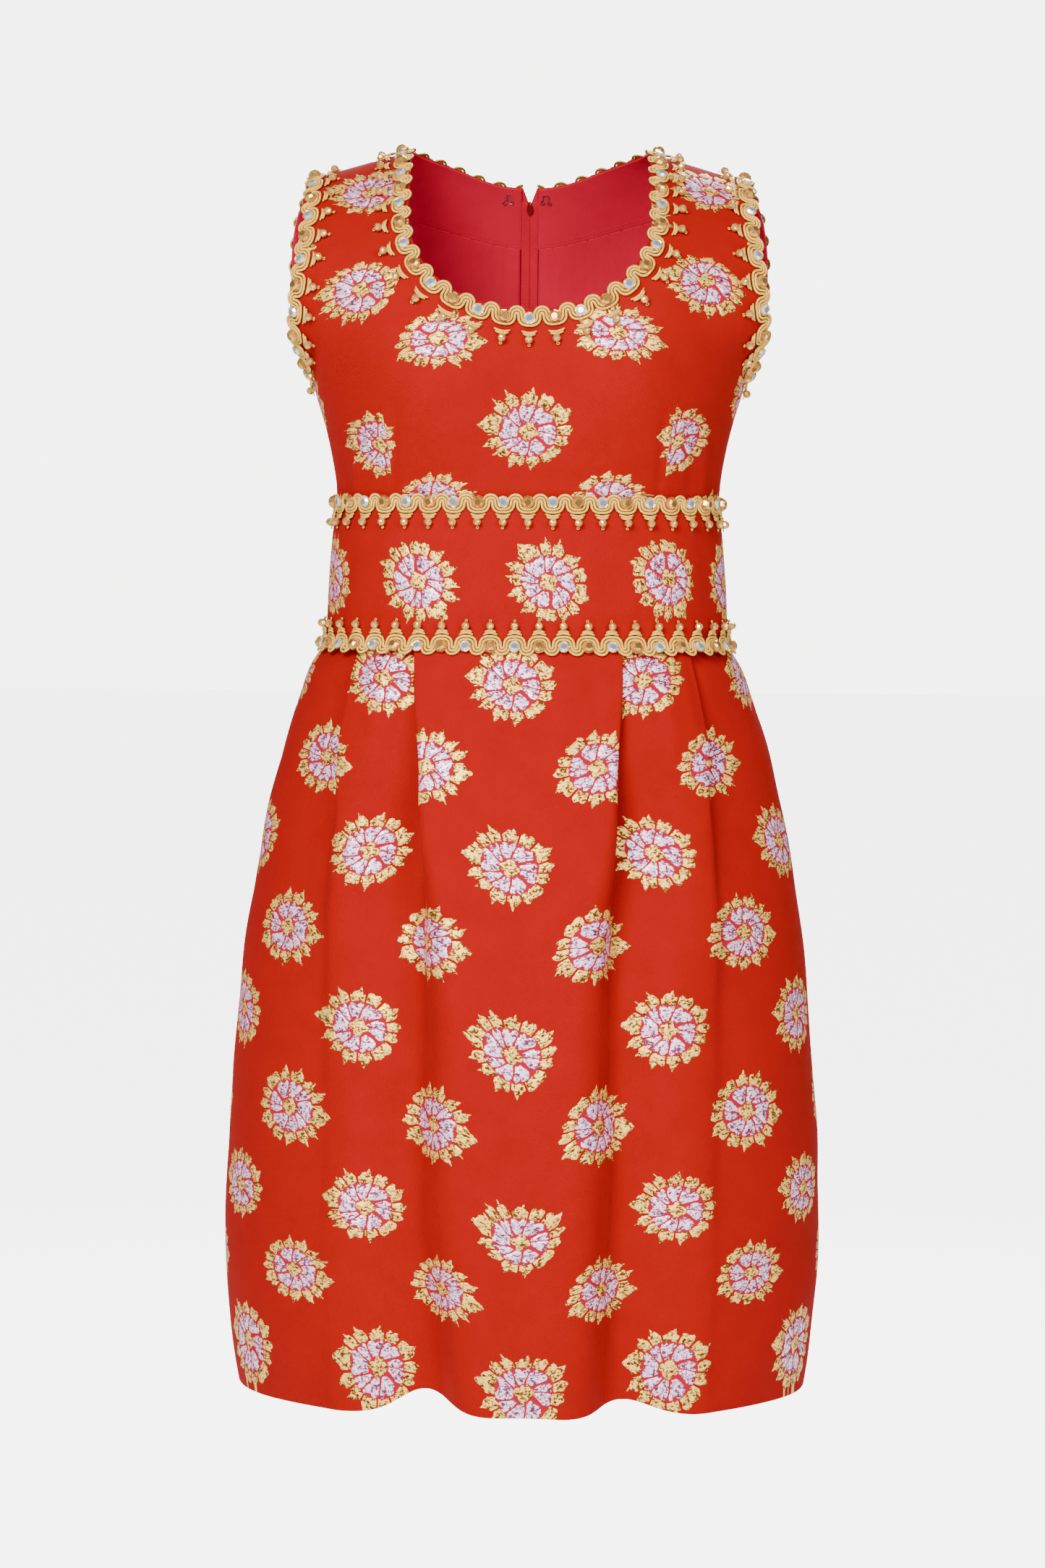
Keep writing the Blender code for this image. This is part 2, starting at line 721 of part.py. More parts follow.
def skirt(look):
    right, left = [skirt_half(FRONT, hand) for hand in ("right", "left")]
    whole = [np.concatenate([left[k][:, :0:-1], right[k]], axis=1) for k in (0, 1)]
    panels = {"skirt_front": Panel(*whole)}
    for hand in ("left", "right"):
        panels[f"skirt_back_{hand}"] = skirt_half(BACK, hand)
    for name, panel in panels.items():
        wall(name, panel, look)
    return panels


def surface_tree(panels):
    """A search tree over the panels' outer faces."""
    points = []
    faces = []
    for panel in panels:
        base = len(points)
        points += [Vector(p) for p in panel.points.reshape(-1, 3)]
        faces += [tuple(base + k for k in triangle) for triangle in grid_triangles(*panel.points.shape[:2])]
    return BVHTree.FromPolygons(points, faces)


def ring_strip(name, rings, closed, look):
    """A solid strip through the rings, which have as many points each. Open strips get end caps."""
    made = bmesh.new()
    loops = [[made.verts.new(p) for p in ring] for ring in rings]
    sides = len(loops[0])
    pairs = list(zip(loops, loops[1:]))
    if closed:
        pairs.append((loops[-1], loops[0]))
    for one, two in pairs:
        for k in range(sides):
            made.faces.new((one[k], one[(k + 1) % sides], two[(k + 1) % sides], two[k]))
    if not closed:
        made.faces.new(loops[0])
        made.faces.new(loops[-1][::-1])
    return finish(name, made, look)


def unit_places(length):
    """The stations of a braid: how far along each lies, and its outline there."""
    units = round(length / BRAID_PITCH)
    pitch = length / units
    return [((k + station.phase) * pitch, station) for k in range(units) for station in BRAID_UNIT]


def edge_braid(name, path, opening, tree, closed, depths_shared, look):
    """A braid along a cut edge: its arches hang over the edge and its drops point away from the opening."""
    walk = evenly(path.points)
    walk_normal = beside(path)
    length = np.linalg.norm(np.diff(path.points, axis=0), axis=1).sum()
    feet = []
    for at, station in unit_places(length) + ([] if closed else [(length, BRAID_UNIT[0])]):
        place = Vector(walk(at / length))
        ahead = walk(min((at + EDGE_STEP) / length, 1)) - walk(max((at - EDGE_STEP) / length, 0))
        ahead = Vector(ahead)
        normal = Vector(walk_normal(at / length))
        away = normal.cross(ahead).normalized()
        if away.dot(place - opening) < 0:
            away = -away
        row = []
        for share in depths_shared:
            depth = station.near + (station.far - station.near) * share
            height = station.near_height + (station.far_height - station.near_height) * share
            row.append(Foot(*rest_on(tree, place, away, depth, normal), height))
        feet.append(row)
    return braid_strip(name, feet, tree, closed, look)


def beside(path):
    """The path's normals by the share of its length."""
    steps = np.linalg.norm(np.diff(path.points, axis=0), axis=1)
    walked = np.concatenate([[0], np.cumsum(steps)])
    walked /= walked[-1]
    return lambda t: unit(np.array([np.interp(t, walked, path.normals[:, k]) for k in range(3)]))


def out_of_body(place):
    """The way out of the figure's smooth surface at a place on it."""
    levels = levels_at(place.z)
    side = FRONT if place.y < 0 else BACK
    angle = np.array([math.asin(np.clip(place.x / figure(levels, place.z)[0], -1, 1))])
    return Vector(body_normal(levels, angle, np.array([place.z]), side)[0])


def rest_on(tree, place, away, depth, normal):
    """A foot of the braid on the cloth, this far in from its edge, and the way out of the cloth there."""
    target = place + away * depth
    if depth <= 0:
        return target, normal
    foot, _, _, _ = tree.find_nearest(target)
    return foot, out_of_body(foot)


def braid_strip(name, feet, tree, closed, look):
    """A strip standing on the feet, lifted where its flat facets would cut a corner of the cloth."""
    lifts = np.full((len(feet), len(feet[0])), BRAID_GAP)
    for _ in range(LIFT_PASSES):
        lifts += short_of_clear(feet, lifts, tree, closed)
    rings = []
    for row, row_lifts in zip(feet, lifts):
        low = [foot.place + foot.up * float(lift) for foot, lift in zip(row, row_lifts)]
        tops = [float(lift - BRAID_GAP + foot.height) for foot, lift in zip(row, row_lifts)]
        high = [foot.place + foot.up * top for foot, top in zip(row, tops)]
        rings.append(low + high[::-1])
    return ring_strip(name, rings, closed, look)


def short_of_clear(feet, lifts, tree, closed):
    """How much higher each foot has to stand for the facets round it to keep clear of the cloth."""
    ups = np.array([[foot.up for foot in row] for row in feet])
    places = np.array([[foot.place for foot in row] for row in feet]) + ups * lifts[..., None]
    more = np.zeros_like(lifts)
    rows, columns = lifts.shape
    for i in range(rows if closed else rows - 1):
        after = (i + 1) % rows
        for j in range(columns - 1):
            corners = ((i, j), (i, j + 1), (after, j), (after, j + 1))
            for s in FACET_SAMPLES:
                for t in FACET_SAMPLES:
                    weights = ((1 - s) * (1 - t), (1 - s) * t, s * (1 - t), s * t)
                    spot = Vector(sum(places[corner] * weight for corner, weight in zip(corners, weights)))
                    up = Vector(sum(ups[corner] * weight for corner, weight in zip(corners, weights)))
                    up.normalize()
                    foot, _, _, _ = tree.find_nearest(spot)
                    clear = (spot - foot).dot(up)
                    aside = (spot - foot - up * clear).length
                    if clear >= BRAID_CLEAR or aside > BRAID_CLEAR + abs(clear):
                        continue
                    for corner, weight in zip(corners, weights):
                        if weight > 0:
                            more[corner] = max(more[corner], BRAID_CLEAR - clear)
    return more


def edge_path(runs):
    return Panel(*[np.concatenate([run[k] for run in runs]) for k in (0, 1)])


def neck_path(panels):
    """The neck edge, from the zip round the picture's right and the scoop and back to the zip."""
    last = round(BACK_NECK_SHARE * BACK_COLUMNS) + 1
    first = round(FRONT_SHOULDER_SHARE * FRONT_COLUMNS)
    scoop = cut_from(panels["bodice_front"], -1, slice(FRONT_COLUMNS - first, first - 1, -1))
    right = cut_from(panels["bodice_back_right"], -1, slice(0, last + 1))
    left = cut_from(panels["bodice_back_left"], -1, slice(last, None, -1))
    return edge_path([right, scoop, left])


def armhole_path(panels, hand):
    """The armhole edge, from the underarm up the front and down the back."""
    under_front = FRONT_ROWS.index(UNDERARM_SHARE)
    under_back = BACK_ROWS.index(UNDERARM_SHARE)
    front = cut_from(panels["bodice_front"], slice(under_front, None), 0 if hand == "left" else -1)
    back = cut_from(panels[f"bodice_back_{hand}"], slice(None, under_back - 1, -1), -1)
    return edge_path([front, back])


def round_body(z, count):
    """Points round the body at one height, from the zip round the picture's left and front to the zip."""
    levels = levels_at(z)
    fine = np.linspace(0, np.pi / 2, count)
    level = np.full(count, z)
    back, front = [body_point(levels, fine, level, side) for side in (BACK, FRONT)]
    back = back[back[:, 0] > centre_back(z) + BRAID_END_GAP]
    half = np.concatenate([back, front[::-1]])
    return np.concatenate([flip(half, -1), half[-2::-1]])


def seam_braid(name, edge_z, downwards, tree, look):
    """A braid round the body over a seam, its arches along edge_z and its drops down or up from there."""
    path = round_body(edge_z, EDGE_SAMPLES)
    walk = evenly(path)
    length = np.linalg.norm(np.diff(path, axis=0), axis=1).sum()
    feet = []
    for at, station in unit_places(length) + [(length, BRAID_UNIT[0])]:
        place = walk(at / length)
        row = []
        for depth, height in ((station.near, station.near_height), (station.far, station.far_height)):
            z = edge_z - depth if downwards else edge_z + depth
            row.append(Foot(*beside_seam(place, z, tree), height))
        feet.append(row)
    return braid_strip(name, feet, tree, False, look)


def beside_seam(place, z, tree):
    """The foot of a seam braid at this height. Over the pleats it follows the skirt's plain section."""
    levels = levels_at(z)
    side = FRONT if place[1] < 0 else BACK
    own_half_width = figure(levels_at(place[2]), place[2])[0]
    angle = np.array([math.asin(np.clip(place[0] / own_half_width, -1, 1))])
    level = np.array([z])
    spot = Vector(body_point(levels, angle, level, side)[0])
    normal = Vector(body_normal(levels, angle, level, side)[0])
    if levels is SKIRT_LEVELS:
        return spot, normal
    foot, _, _, _ = tree.find_nearest(spot)
    return foot, normal


def levels_at(z):
    if z > EMPIRE_Z:
        return BODICE_LEVELS
    return MIDRIFF_LEVELS if z > WAIST_Z else SKIRT_LEVELS


def braids(panels, look):
    bodice_tree = surface_tree([panel for name, panel in panels.items() if name.startswith("bodice")])
    edge_braid("braid_neck", neck_path(panels), Vector(NECK_MIDDLE), bodice_tree, False, (0, 1), look)
    for hand, sign in (("left", -1), ("right", 1)):
        opening = Vector((sign * ARMHOLE_MIDDLE[0], *ARMHOLE_MIDDLE[1:]))
        path = armhole_path(panels, hand)
        edge_braid(f"braid_armhole_{hand}", path, opening, bodice_tree, True, (0, 0.5, 1), look)
    upper_tree = surface_tree([panel for name, panel in panels.items() if not name.startswith("skirt")])
    seam_braid("braid_empire", BRAID_EMPIRE_Z, True, upper_tree, look)
    seam_braid("braid_waist", BRAID_WAIST_Z, False, upper_tree, look)


def back_frame(z):
    """The centre back at one height: its point, the way out of the cloth, and the way down along it."""
    levels = levels_at(z)
    place = body_point(levels, np.array([0.0]), np.array([z]), BACK)[0]
    normal = body_normal(levels, np.array([1e-3]), np.array([z]), BACK)[0] * [0, 1, 1]
    normal = Vector(normal).normalized()
    down = Vector((1, 0, 0)).cross(normal)
    return Vector(place), normal, down if down.z < 0 else -down


def zip_tapes(panels, look):
    """Each tape lies on the first column of the back panels' insides, from the zip's end up to the notch."""
    for hand in ("left", "right"):
        skirt_back, midriff_back, bodice_back = [
            panels[f"{piece}_back_{hand}"] for piece in ("skirt", "midriff", "bodice")
        ]
        reach = int((skirt_back.points[:, 0, 2] > ZIP_END_Z).sum())
        runs = [
            cut_from(skirt_back, slice(reach, None, -1), slice(0, 2)),
            cut_from(midriff_back, slice(None), slice(0, 2)),
            cut_from(bodice_back, slice(0, NOTCH_ROW + 1), slice(0, 2)),
        ]
        points, normals = [np.concatenate([run[k] for run in runs]) for k in (0, 1)]
        share = (TAPE_WIDTH - SEAM_GAP) / LINER_START
        points[:, 1] = points[:, 0] + (points[:, 1] - points[:, 0]) * share
        wall(f"zip_tape_{hand}", Panel(points, normals), look, WALL + LINER_GAP, TAPE_WALL)


def local_matrix(z, out):
    """A frame on the centre back at z: X across, Y out of the cloth, Z up along it, moved out by out."""
    place, normal, down = back_frame(z)
    turned = Matrix((Vector((1, 0, 0)), normal, -down)).transposed().to_4x4()
    return Matrix.Translation(place + normal * out) @ turned


def block(made, size, centre):
    bmesh.ops.create_cube(made, size=1, matrix=Matrix.Translation(centre) @ Matrix.Diagonal((*size, 1)))


def from_shapes(name, shapes, frame, look):
    """One body made of several, joined by Boolean unions, placed by its frame."""
    made = []
    for k, shape in enumerate(shapes):
        mesh = bpy.data.meshes.new(f"{name}_{k}")
        shape.to_mesh(mesh)
        shape.free()
        mesh.materials.append(look)
        item = bpy.data.objects.new(name if k == 0 else f"{name}_{k}", mesh)
        item.matrix_world = frame
        bpy.data.collections["cocktail_dress" if k == 0 else "cutters"].objects.link(item)
        item.hide_render = k > 0
        made.append(item)
    for other in made[1:]:
        other.display_type = "WIRE"
        union = made[0].modifiers.new(other.name, "BOOLEAN")
        union.operation = "UNION"
        union.object = other
    return made[0]


def box_shape(size, centre):
    shape = bmesh.new()
    block(shape, size, centre)
    return shape


def rounded_plate(width, length, thick, centre_y):
    """A plate across X and Z with rounded ends, as a squashed cylinder along Y."""
    shape = bmesh.new()
    turn = Matrix.Translation((0, centre_y, 0)) @ Matrix.Diagonal((width / 2, 1, length / 2, 1))
    turn = turn @ Matrix.Rotation(math.pi / 2, 4, "X")
    bmesh.ops.create_cone(
        shape, cap_ends=True, segments=16, radius1=1, radius2=1, depth=thick, matrix=turn
    )
    return shape


def arch_shape(radius, wire, centre_y):
    """A small round bar bent in a half ring across Y and Z, its feet sunk in the plate."""
    shape = bmesh.new()
    rings = []
    for k in range(9):
        turn = math.pi * k / 8
        middle = Vector((0, centre_y + radius * math.sin(turn), radius * math.cos(turn)))
        out = Vector((0, math.sin(turn), math.cos(turn)))
        ring = []
        for m in range(6):
            around = 2 * math.pi * m / 6
            sideways = Vector((wire * math.sin(around), 0, 0))
            ring.append(shape.verts.new(middle + out * wire * math.cos(around) + sideways))
        rings.append(ring)
    for one, two in zip(rings, rings[1:]):
        for m in range(6):
            shape.faces.new((one[m], one[(m + 1) % 6], two[(m + 1) % 6], two[m]))
    shape.faces.new(rings[0])
    shape.faces.new(rings[-1][::-1])
    bmesh.ops.recalc_face_normals(shape, faces=shape.faces)
    return shape


def zip_slider(look):
    """A plate on the tapes' inside, a neck through the parted edges, and a plate with a bridge outside."""
    frame = local_matrix(SLIDER_Z, 0)
    outside = LINER_GAP + PLATE / 2
    inside = -(WALL + LINER_GAP + TAPE_WALL + SLIDER_CLEAR + PLATE / 2)
    span = outside - inside
    shapes = [
        rounded_plate(SLIDER_WIDTH, SLIDER_LENGTH, PLATE, outside),
        rounded_plate(SLIDER_WIDTH, SLIDER_LENGTH, PLATE, inside),
        box_shape((0.0012, span, 0.0030), (0, (outside + inside) / 2, 0.0010)),
        arch_shape(BRIDGE_RADIUS, BRIDGE_WIRE, LINER_GAP + PLATE - BRIDGE_WIRE / 2),
    ]
    return from_shapes("zip_slider", shapes, frame, look)


def zip_pull(look):
    """A flat tab with a slot at its top. Its upper bar turns under the slider's bridge."""
    frame = local_matrix(SLIDER_Z, LINER_GAP + PLATE + HINGE_OUT)
    bar = 0.0004
    slot = 0.0032
    side = 0.0009
    middle = -(slot + PULL_LENGTH) / 2
    shapes = [
        box_shape((PULL_WIDTH, PULL_THICK, PULL_LENGTH - slot), (0, 0, middle)),
        box_shape((PULL_WIDTH, PULL_THICK, 2 * bar), (0, 0, 0)),
        box_shape((side, PULL_THICK, slot + 2 * bar), (PULL_WIDTH / 2 - side / 2, 0, -slot / 2)),
        box_shape((side, PULL_THICK, slot + 2 * bar), (side / 2 - PULL_WIDTH / 2, 0, -slot / 2)),
    ]
    return from_shapes("zip_pull", shapes, frame, look)


def wire_piece(name, points, x, z, look):
    """A bent wire sewn to the facing's inside, drawn in the cloth's plane as (across, up, in) steps."""
    levels = BODICE_LEVELS
    angle = as_angle(np.array([abs(x), z]))[..., 0]
    place = body_point(levels, np.array([angle]), np.array([z]), BACK)[0]
    normal = Vector(body_normal(levels, np.array([angle]), np.array([z]), BACK)[0])
    across = Vector((1, 0, 0))
    across = (across - normal * across.dot(normal)).normalized()
    up = normal.cross(across)
    up = up if up.z > 0 else -up
    sign = -1 if x < 0 else 1
    depth = WALL + LINER_GAP + LINER_WALL + 2 * LINER_GAP + WIRE_RADIUS
    line = bpy.data.curves.new(name, "CURVE")
    line.dimensions = "3D"
    line.bevel_depth = WIRE_RADIUS
    line.bevel_resolution = 0
    line.use_fill_caps = True
    run = line.splines.new("POLY")
    run.points.add(len(points) - 1)
    for point, (sideways, rise, inwards) in zip(run.points, points):
        spot = Vector(place) - normal * (depth + inwards) + across * sideways * sign + up * rise
        point.co = (*flip(np.array(spot), sign), 1)
    line.materials.append(look)
    placed = bpy.data.objects.new(name, line)
    bpy.data.collections["cocktail_dress"].objects.link(placed)
    return placed


def loop_points(centre, radius, start, end, count, depth=0.0):
    turns = np.radians(np.linspace(start, end, count))
    return [(centre[0] + radius * math.cos(a), centre[1] + radius * math.sin(a), depth) for a in turns]


def hook_and_eye(look):
    """The hook with two sewing loops and a bent-over bill, and the eye with two loops and an arch."""
    ring = 0.0014
    left = loop_points((-0.0026, -0.0030), ring, 70, -250, 9)
    right = loop_points((0.0026, -0.0030), ring, -290, -610, 9)
    bill = [(-0.0007, 0.0, 0.0), (-0.0007, 0.0040, 0.0), (-0.0007, 0.0052, 0.0006), (0.0, 0.0056, 0.0014)]
    bill += [(0.0007, 0.0052, 0.0022), (0.0007, 0.0030, 0.0026)]
    bill += [(0.0016, 0.0010, 0.0020), (0.0018, -0.0004, 0.0006)]
    wire_piece("hook", left + bill + right[1:], -0.0175, -0.0270, look)
    arch = loop_points((0.0, 0.0015), 0.0024, 205, -25, 9)
    wire_piece("eye", left + arch + right, 0.0125, -0.0270, look)


def main():
    clear_scene()
    for name in ("cocktail_dress", "cutters"):
        bpy.context.scene.collection.children.link(bpy.data.collections.new(name))
    brocade = material("red_brocade", RED, 0.7)
    lining = material("red_lining", LINING_RED, 0.8)
    gold = material("gold_braid", GOLD, 0.35, 0.8)
    tape = material("zip_tape_cloth", LINING_RED, 0.75)
    metal = material("zip_metal", RED_ENAMEL, 0.35, 0.6)
    wire = material("hook_wire", SILVER, 0.3, 1.0)
    panels = {**bodice(brocade, lining), **midriff(brocade), **skirt(brocade)}
    braids(panels, gold)
    zip_tapes(panels, tape)
    zip_slider(metal)
    zip_pull(metal)
    hook_and_eye(wire)


if __name__ == "__main__":
    main()
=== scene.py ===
"""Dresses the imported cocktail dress: brocade cloth, lining, jewelled gimp braid, zip and fastenings.

Metres, +Z up. The front faces -Y and the picture's right is +X, as in the CAD frame. Left and right are
the picture's.
"""

import logging
import math
from dataclasses import dataclass, field
from enum import Enum
from typing import Callable, NamedTuple

import bmesh
import bpy
import numpy as np
from mathutils import Euler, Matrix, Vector
from mathutils.bvhtree import BVHTree


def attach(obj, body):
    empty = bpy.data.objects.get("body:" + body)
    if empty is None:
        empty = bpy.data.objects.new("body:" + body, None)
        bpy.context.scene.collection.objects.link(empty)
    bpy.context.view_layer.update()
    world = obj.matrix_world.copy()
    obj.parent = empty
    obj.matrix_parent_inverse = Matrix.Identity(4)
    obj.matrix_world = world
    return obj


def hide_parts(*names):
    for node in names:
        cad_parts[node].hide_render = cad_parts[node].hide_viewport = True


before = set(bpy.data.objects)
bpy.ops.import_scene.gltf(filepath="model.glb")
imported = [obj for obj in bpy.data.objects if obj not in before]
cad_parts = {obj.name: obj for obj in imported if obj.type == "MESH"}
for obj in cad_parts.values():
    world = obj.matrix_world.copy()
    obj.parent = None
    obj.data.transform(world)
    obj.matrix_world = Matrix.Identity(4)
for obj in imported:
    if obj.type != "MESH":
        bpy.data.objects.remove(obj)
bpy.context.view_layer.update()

logging.basicConfig(level=logging.INFO, format="%(message)s")
log = logging.getLogger("dress")

Colour = tuple[float, float, float]
Socket = bpy.types.NodeSocket


class Side(Enum):
    """Which half of the body a panel lies on; the value is the sign of Y."""

    FRONT = -1
    BACK = 1


class Hand(Enum):
    """The picture's left or right; the value is the sign of X."""

    LEFT = -1
    RIGHT = 1

    @property
    def word(self) -> str:
        """The name that node names use."""
        return self.name.lower()


class Level(NamedTuple):
    """The figure at one height: half width, and how deep its front and back stand from the side seams."""

    z: float
    half_width: float
    front: float
    back: float


class EdgePoint(NamedTuple):
    """One point of an edge, seen from the front."""

    x: float
    z: float


class Fold(NamedTuple):
    """A pleat at one height: where its top layer ends, and how far and how tightly the cloth turns under."""

    z: float
    left: float
    right: float
    turn: float
    edge_radius: float
    middle: float
    valley_radius: float


class Crease(NamedTuple):
    """A soft ridge or trough pressed into the cloth between two points seen from the front."""

    start: EdgePoint
    end: EdgePoint
    height: float
    width: float


class FlowerPin(NamedTuple):
    """Where one flower of the woven lattice lies on a panel, and its place in the lattice."""

    x: float
    z: float
    column: float
    row: float


def ease(t: np.ndarray) -> np.ndarray:
    """A smooth step from 0 to 1."""
    t = np.clip(t, 0.0, 1.0)
    return t * t * (3 - 2 * t)


def unit(vectors: np.ndarray) -> np.ndarray:
    """The vectors at length one."""
    return vectors / np.linalg.norm(vectors, axis=-1, keepdims=True).clip(1e-12)


def curve_through(places: list[float], values: list[float], at: np.ndarray) -> np.ndarray:
    """A smooth curve through the values.

    Args:
        places: where each value stands.
        values: the values there.
        at: where to read the curve.

    Returns:
        The curve's values at those places.
    """
    places = np.asarray(places, float)
    values = np.asarray(values, float)
    order = np.argsort(places)
    places, values = places[order], values[order]
    slopes = np.gradient(values, places)
    at = np.clip(at, places[0], places[-1])
    index = np.clip(np.searchsorted(places, at) - 1, 0, len(places) - 2)
    span = places[index + 1] - places[index]
    t = (at - places[index]) / span
    rise = values[index + 1] - values[index]
    start, end = slopes[index] * span, slopes[index + 1] * span
    return values[index] + t * (start + t * (3 * rise - 2 * start - end + t * (start + end - 2 * rise)))


def evenly(points: np.ndarray, places: np.ndarray | None = None) -> Callable[[np.ndarray], np.ndarray]:
    """A walk along points at an even pace.

    Args:
        points: the points that the walk passes.
        places: points that give the pace instead, one for each.

    Returns:
        A function of 0 to 1.
    """
    points = np.asarray(points, float)
    lengths = np.linalg.norm(np.diff(points if places is None else places, axis=0), axis=1)
    walked = np.concatenate([[0], np.cumsum(lengths)])

    def walk(t: np.ndarray) -> np.ndarray:
        """The curve's value at places."""
        at = np.asarray(t) * walked[-1]
        return np.stack([np.interp(at, walked, points[:, k]) for k in range(points.shape[1])], axis=-1)

    return walk


def joined(*stretches: tuple[float, Callable]) -> Callable[[np.ndarray], np.ndarray]:
    """Joins (share, function) pairs into one function of 0 to 1."""
    ends = np.cumsum([share for share, _ in stretches])

    def walk(t: np.ndarray) -> np.ndarray:
        """The curve's value at places."""
        t = np.asarray(t, float)
        result = stretches[0][1](np.clip(t / ends[0], 0, 1))
        for (_, stretch), begin, end in zip(stretches[1:], ends, ends[1:]):
            part = stretch(np.clip((t - begin) / (end - begin), 0, 1))
            result = np.where((t > begin)[..., None], part, result)
        return result

    return walk


def column(table: tuple, name: str) -> list[float]:
    """One named column of a table of rows."""
    return [getattr(row, name) for row in table]


@dataclass(frozen=True)
class Figure:
    """The smooth body form that the cloth lies on, as the CAD part states it."""

    seam_gap: float = 0.0004
    section_power: float = 2.35
    shoulder_slope: float = 0.29
    neck_half: float = 0.088
    roll_height: float = 0.120
    roll_start: float = 1.8
    roll_end: float = 0.6
    cup_x: float = 0.080
    cup_z: float = -0.170
    cup_rise: float = 0.020
    cup_width: float = 0.042
    cup_height: float = 0.043
    cup_fade: float = 0.030
    empire_z: float = -0.261
    waist_z: float = -0.364
    hem_z: float = -0.916
    bodice: tuple[Level, ...] = (
        Level(-0.261, 0.1415, 0.0980, 0.0840),
        Level(-0.240, 0.1432, 0.1010, 0.0880),
        Level(-0.208, 0.1496, 0.1070, 0.0920),
        Level(-0.185, 0.1565, 0.1100, 0.0940),
        Level(-0.160, 0.1650, 0.1125, 0.0950),
        Level(-0.130, 0.1950, 0.1135, 0.0960),
        Level(-0.100, 0.2150, 0.1140, 0.0955),
        Level(-0.060, 0.2300, 0.1140, 0.0940),
        Level(0.030, 0.2450, 0.1140, 0.0920),
    )
    midriff: tuple[Level, ...] = (
        Level(-0.364, 0.1500, 0.1050, 0.0900),
        Level(-0.320, 0.1475, 0.1025, 0.0880),
        Level(-0.290, 0.1456, 0.1005, 0.0860),
        Level(-0.261, 0.1415, 0.0980, 0.0840),
    )
    skirt: tuple[Level, ...] = (
        # Half widths from z -0.8816 to -0.4020 were measured on the photograph by a script, row by row.
        Level(-0.930, 0.2100, 0.1710, 0.1520),
        Level(-0.8816, 0.2171, 0.1755, 0.1570),
        Level(-0.8376, 0.2214, 0.1770, 0.1600),
        Level(-0.7937, 0.2228, 0.1765, 0.1610),
        Level(-0.7499, 0.2214, 0.1745, 0.1600),
        Level(-0.6843, 0.2176, 0.1695, 0.1560),
        Level(-0.6189, 0.2120, 0.1630, 0.1500),
        Level(-0.5537, 0.2041, 0.1550, 0.1420),
        Level(-0.5103, 0.1966, 0.1480, 0.1340),
        Level(-0.4669, 0.1868, 0.1390, 0.1240),
        Level(-0.4236, 0.1755, 0.1270, 0.1120),
        Level(-0.4020, 0.1685, 0.1200, 0.1050),
        Level(-0.3804, 0.1605, 0.1115, 0.0970),
        Level(-0.3640, 0.1500, 0.1050, 0.0900),
    )

    def sizes(self, levels: tuple[Level, ...], z: np.ndarray) -> list[np.ndarray]:
        """Half width, front depth and back depth at each height."""
        heights = column(levels, "z")
        return [curve_through(heights, column(levels, name), z) for name in ("half_width", "front", "back")]

    def levels_at(self, z: float) -> tuple[Level, ...]:
        """The table that a height falls in."""
        if z > self.empire_z:
            return self.bodice
        return self.midriff if z > self.waist_z else self.skirt

    def point(self, levels: tuple[Level, ...], angle: np.ndarray, z: np.ndarray, side: Side) -> np.ndarray:
        """A point of the cloth's outside.

        Args:
            levels: the table of sizes.
            angle: 0 at the centre and 90 degrees at the side seam, in radians.
            z: the height.
            side: front or back.

        Returns:
            The points, with their coordinates last.
        """
        half_width, front, back = self.sizes(levels, z)
        across = np.sin(angle)
        depth = front if side is Side.FRONT else back
        depth = depth * (1 - np.abs(across) ** self.section_power).clip(0) ** (1 / self.section_power)
        x = half_width * across
        if levels is self.bodice:
            depth = depth * self.roll(x, z)
            if side is Side.FRONT:
                depth = depth + self.cup(x, z)
        return np.stack([x, side.value * (self.seam_gap / 2 + depth), z + 0 * x], axis=-1)

    def roll(self, x: np.ndarray, z: np.ndarray) -> np.ndarray:
        """How much of the depth is left towards the shoulder's ridge."""
        below = z + self.shoulder_slope * (np.abs(x) - self.neck_half)
        climbed = np.clip((below + self.roll_height) / self.roll_height, 0.0, 1.0)
        return (1 - climbed**self.roll_start) ** self.roll_end

    def cup(self, x: np.ndarray, z: np.ndarray) -> np.ndarray:
        """How far the bust stands out of the plain section."""
        spread = (
            (np.abs(x) - self.cup_x) / self.cup_width
        ) ** 2 + ((z - self.cup_z) / self.cup_height) ** 2
        return self.cup_rise * np.exp(-0.5 * spread) * ease((z - self.empire_z) / self.cup_fade)

    def normal(self, levels: tuple[Level, ...], angle: np.ndarray, z: np.ndarray, side: Side) -> np.ndarray:
        """The way out of the smooth surface."""
        step = 1e-4
        low = np.clip(angle - step, -np.pi / 2, np.pi / 2)
        high = np.clip(angle + step, -np.pi / 2, np.pi / 2)
        here = self.point(levels, angle, z, side)
        around = self.point(levels, high, z, side) - self.point(levels, low, z, side)
        along = here - self.point(levels, angle, z - step, side)
        normals = unit(np.cross(around, along))
        outward = here * [1, 1, 0] + [0, 0, 0.05]
        return normals * np.where((normals * outward).sum(-1, keepdims=True) < 0, -1, 1)

    def as_angle(self, points: np.ndarray) -> np.ndarray:
        """Turns (x, z) into (angle, z) on the bodice."""
        x, z = points[..., 0], points[..., 1]
        half_width = self.sizes(self.bodice, z)[0]
        return np.stack([np.arcsin(np.clip(x / half_width, -1, 1)), z], axis=-1)

    def out_of(self, place: Vector) -> Vector:
        """The way out of the smooth surface at a place on it."""
        levels = self.levels_at(place.z)
        side = Side.FRONT if place.y < 0 else Side.BACK
        half_width = float(self.sizes(levels, place.z)[0])
        angle = np.array([math.asin(max(-1.0, min(1.0, place.x / half_width)))])
        return Vector(self.normal(levels, angle, np.array([place.z]), side)[0])


FIGURE = Figure()


# Finishes


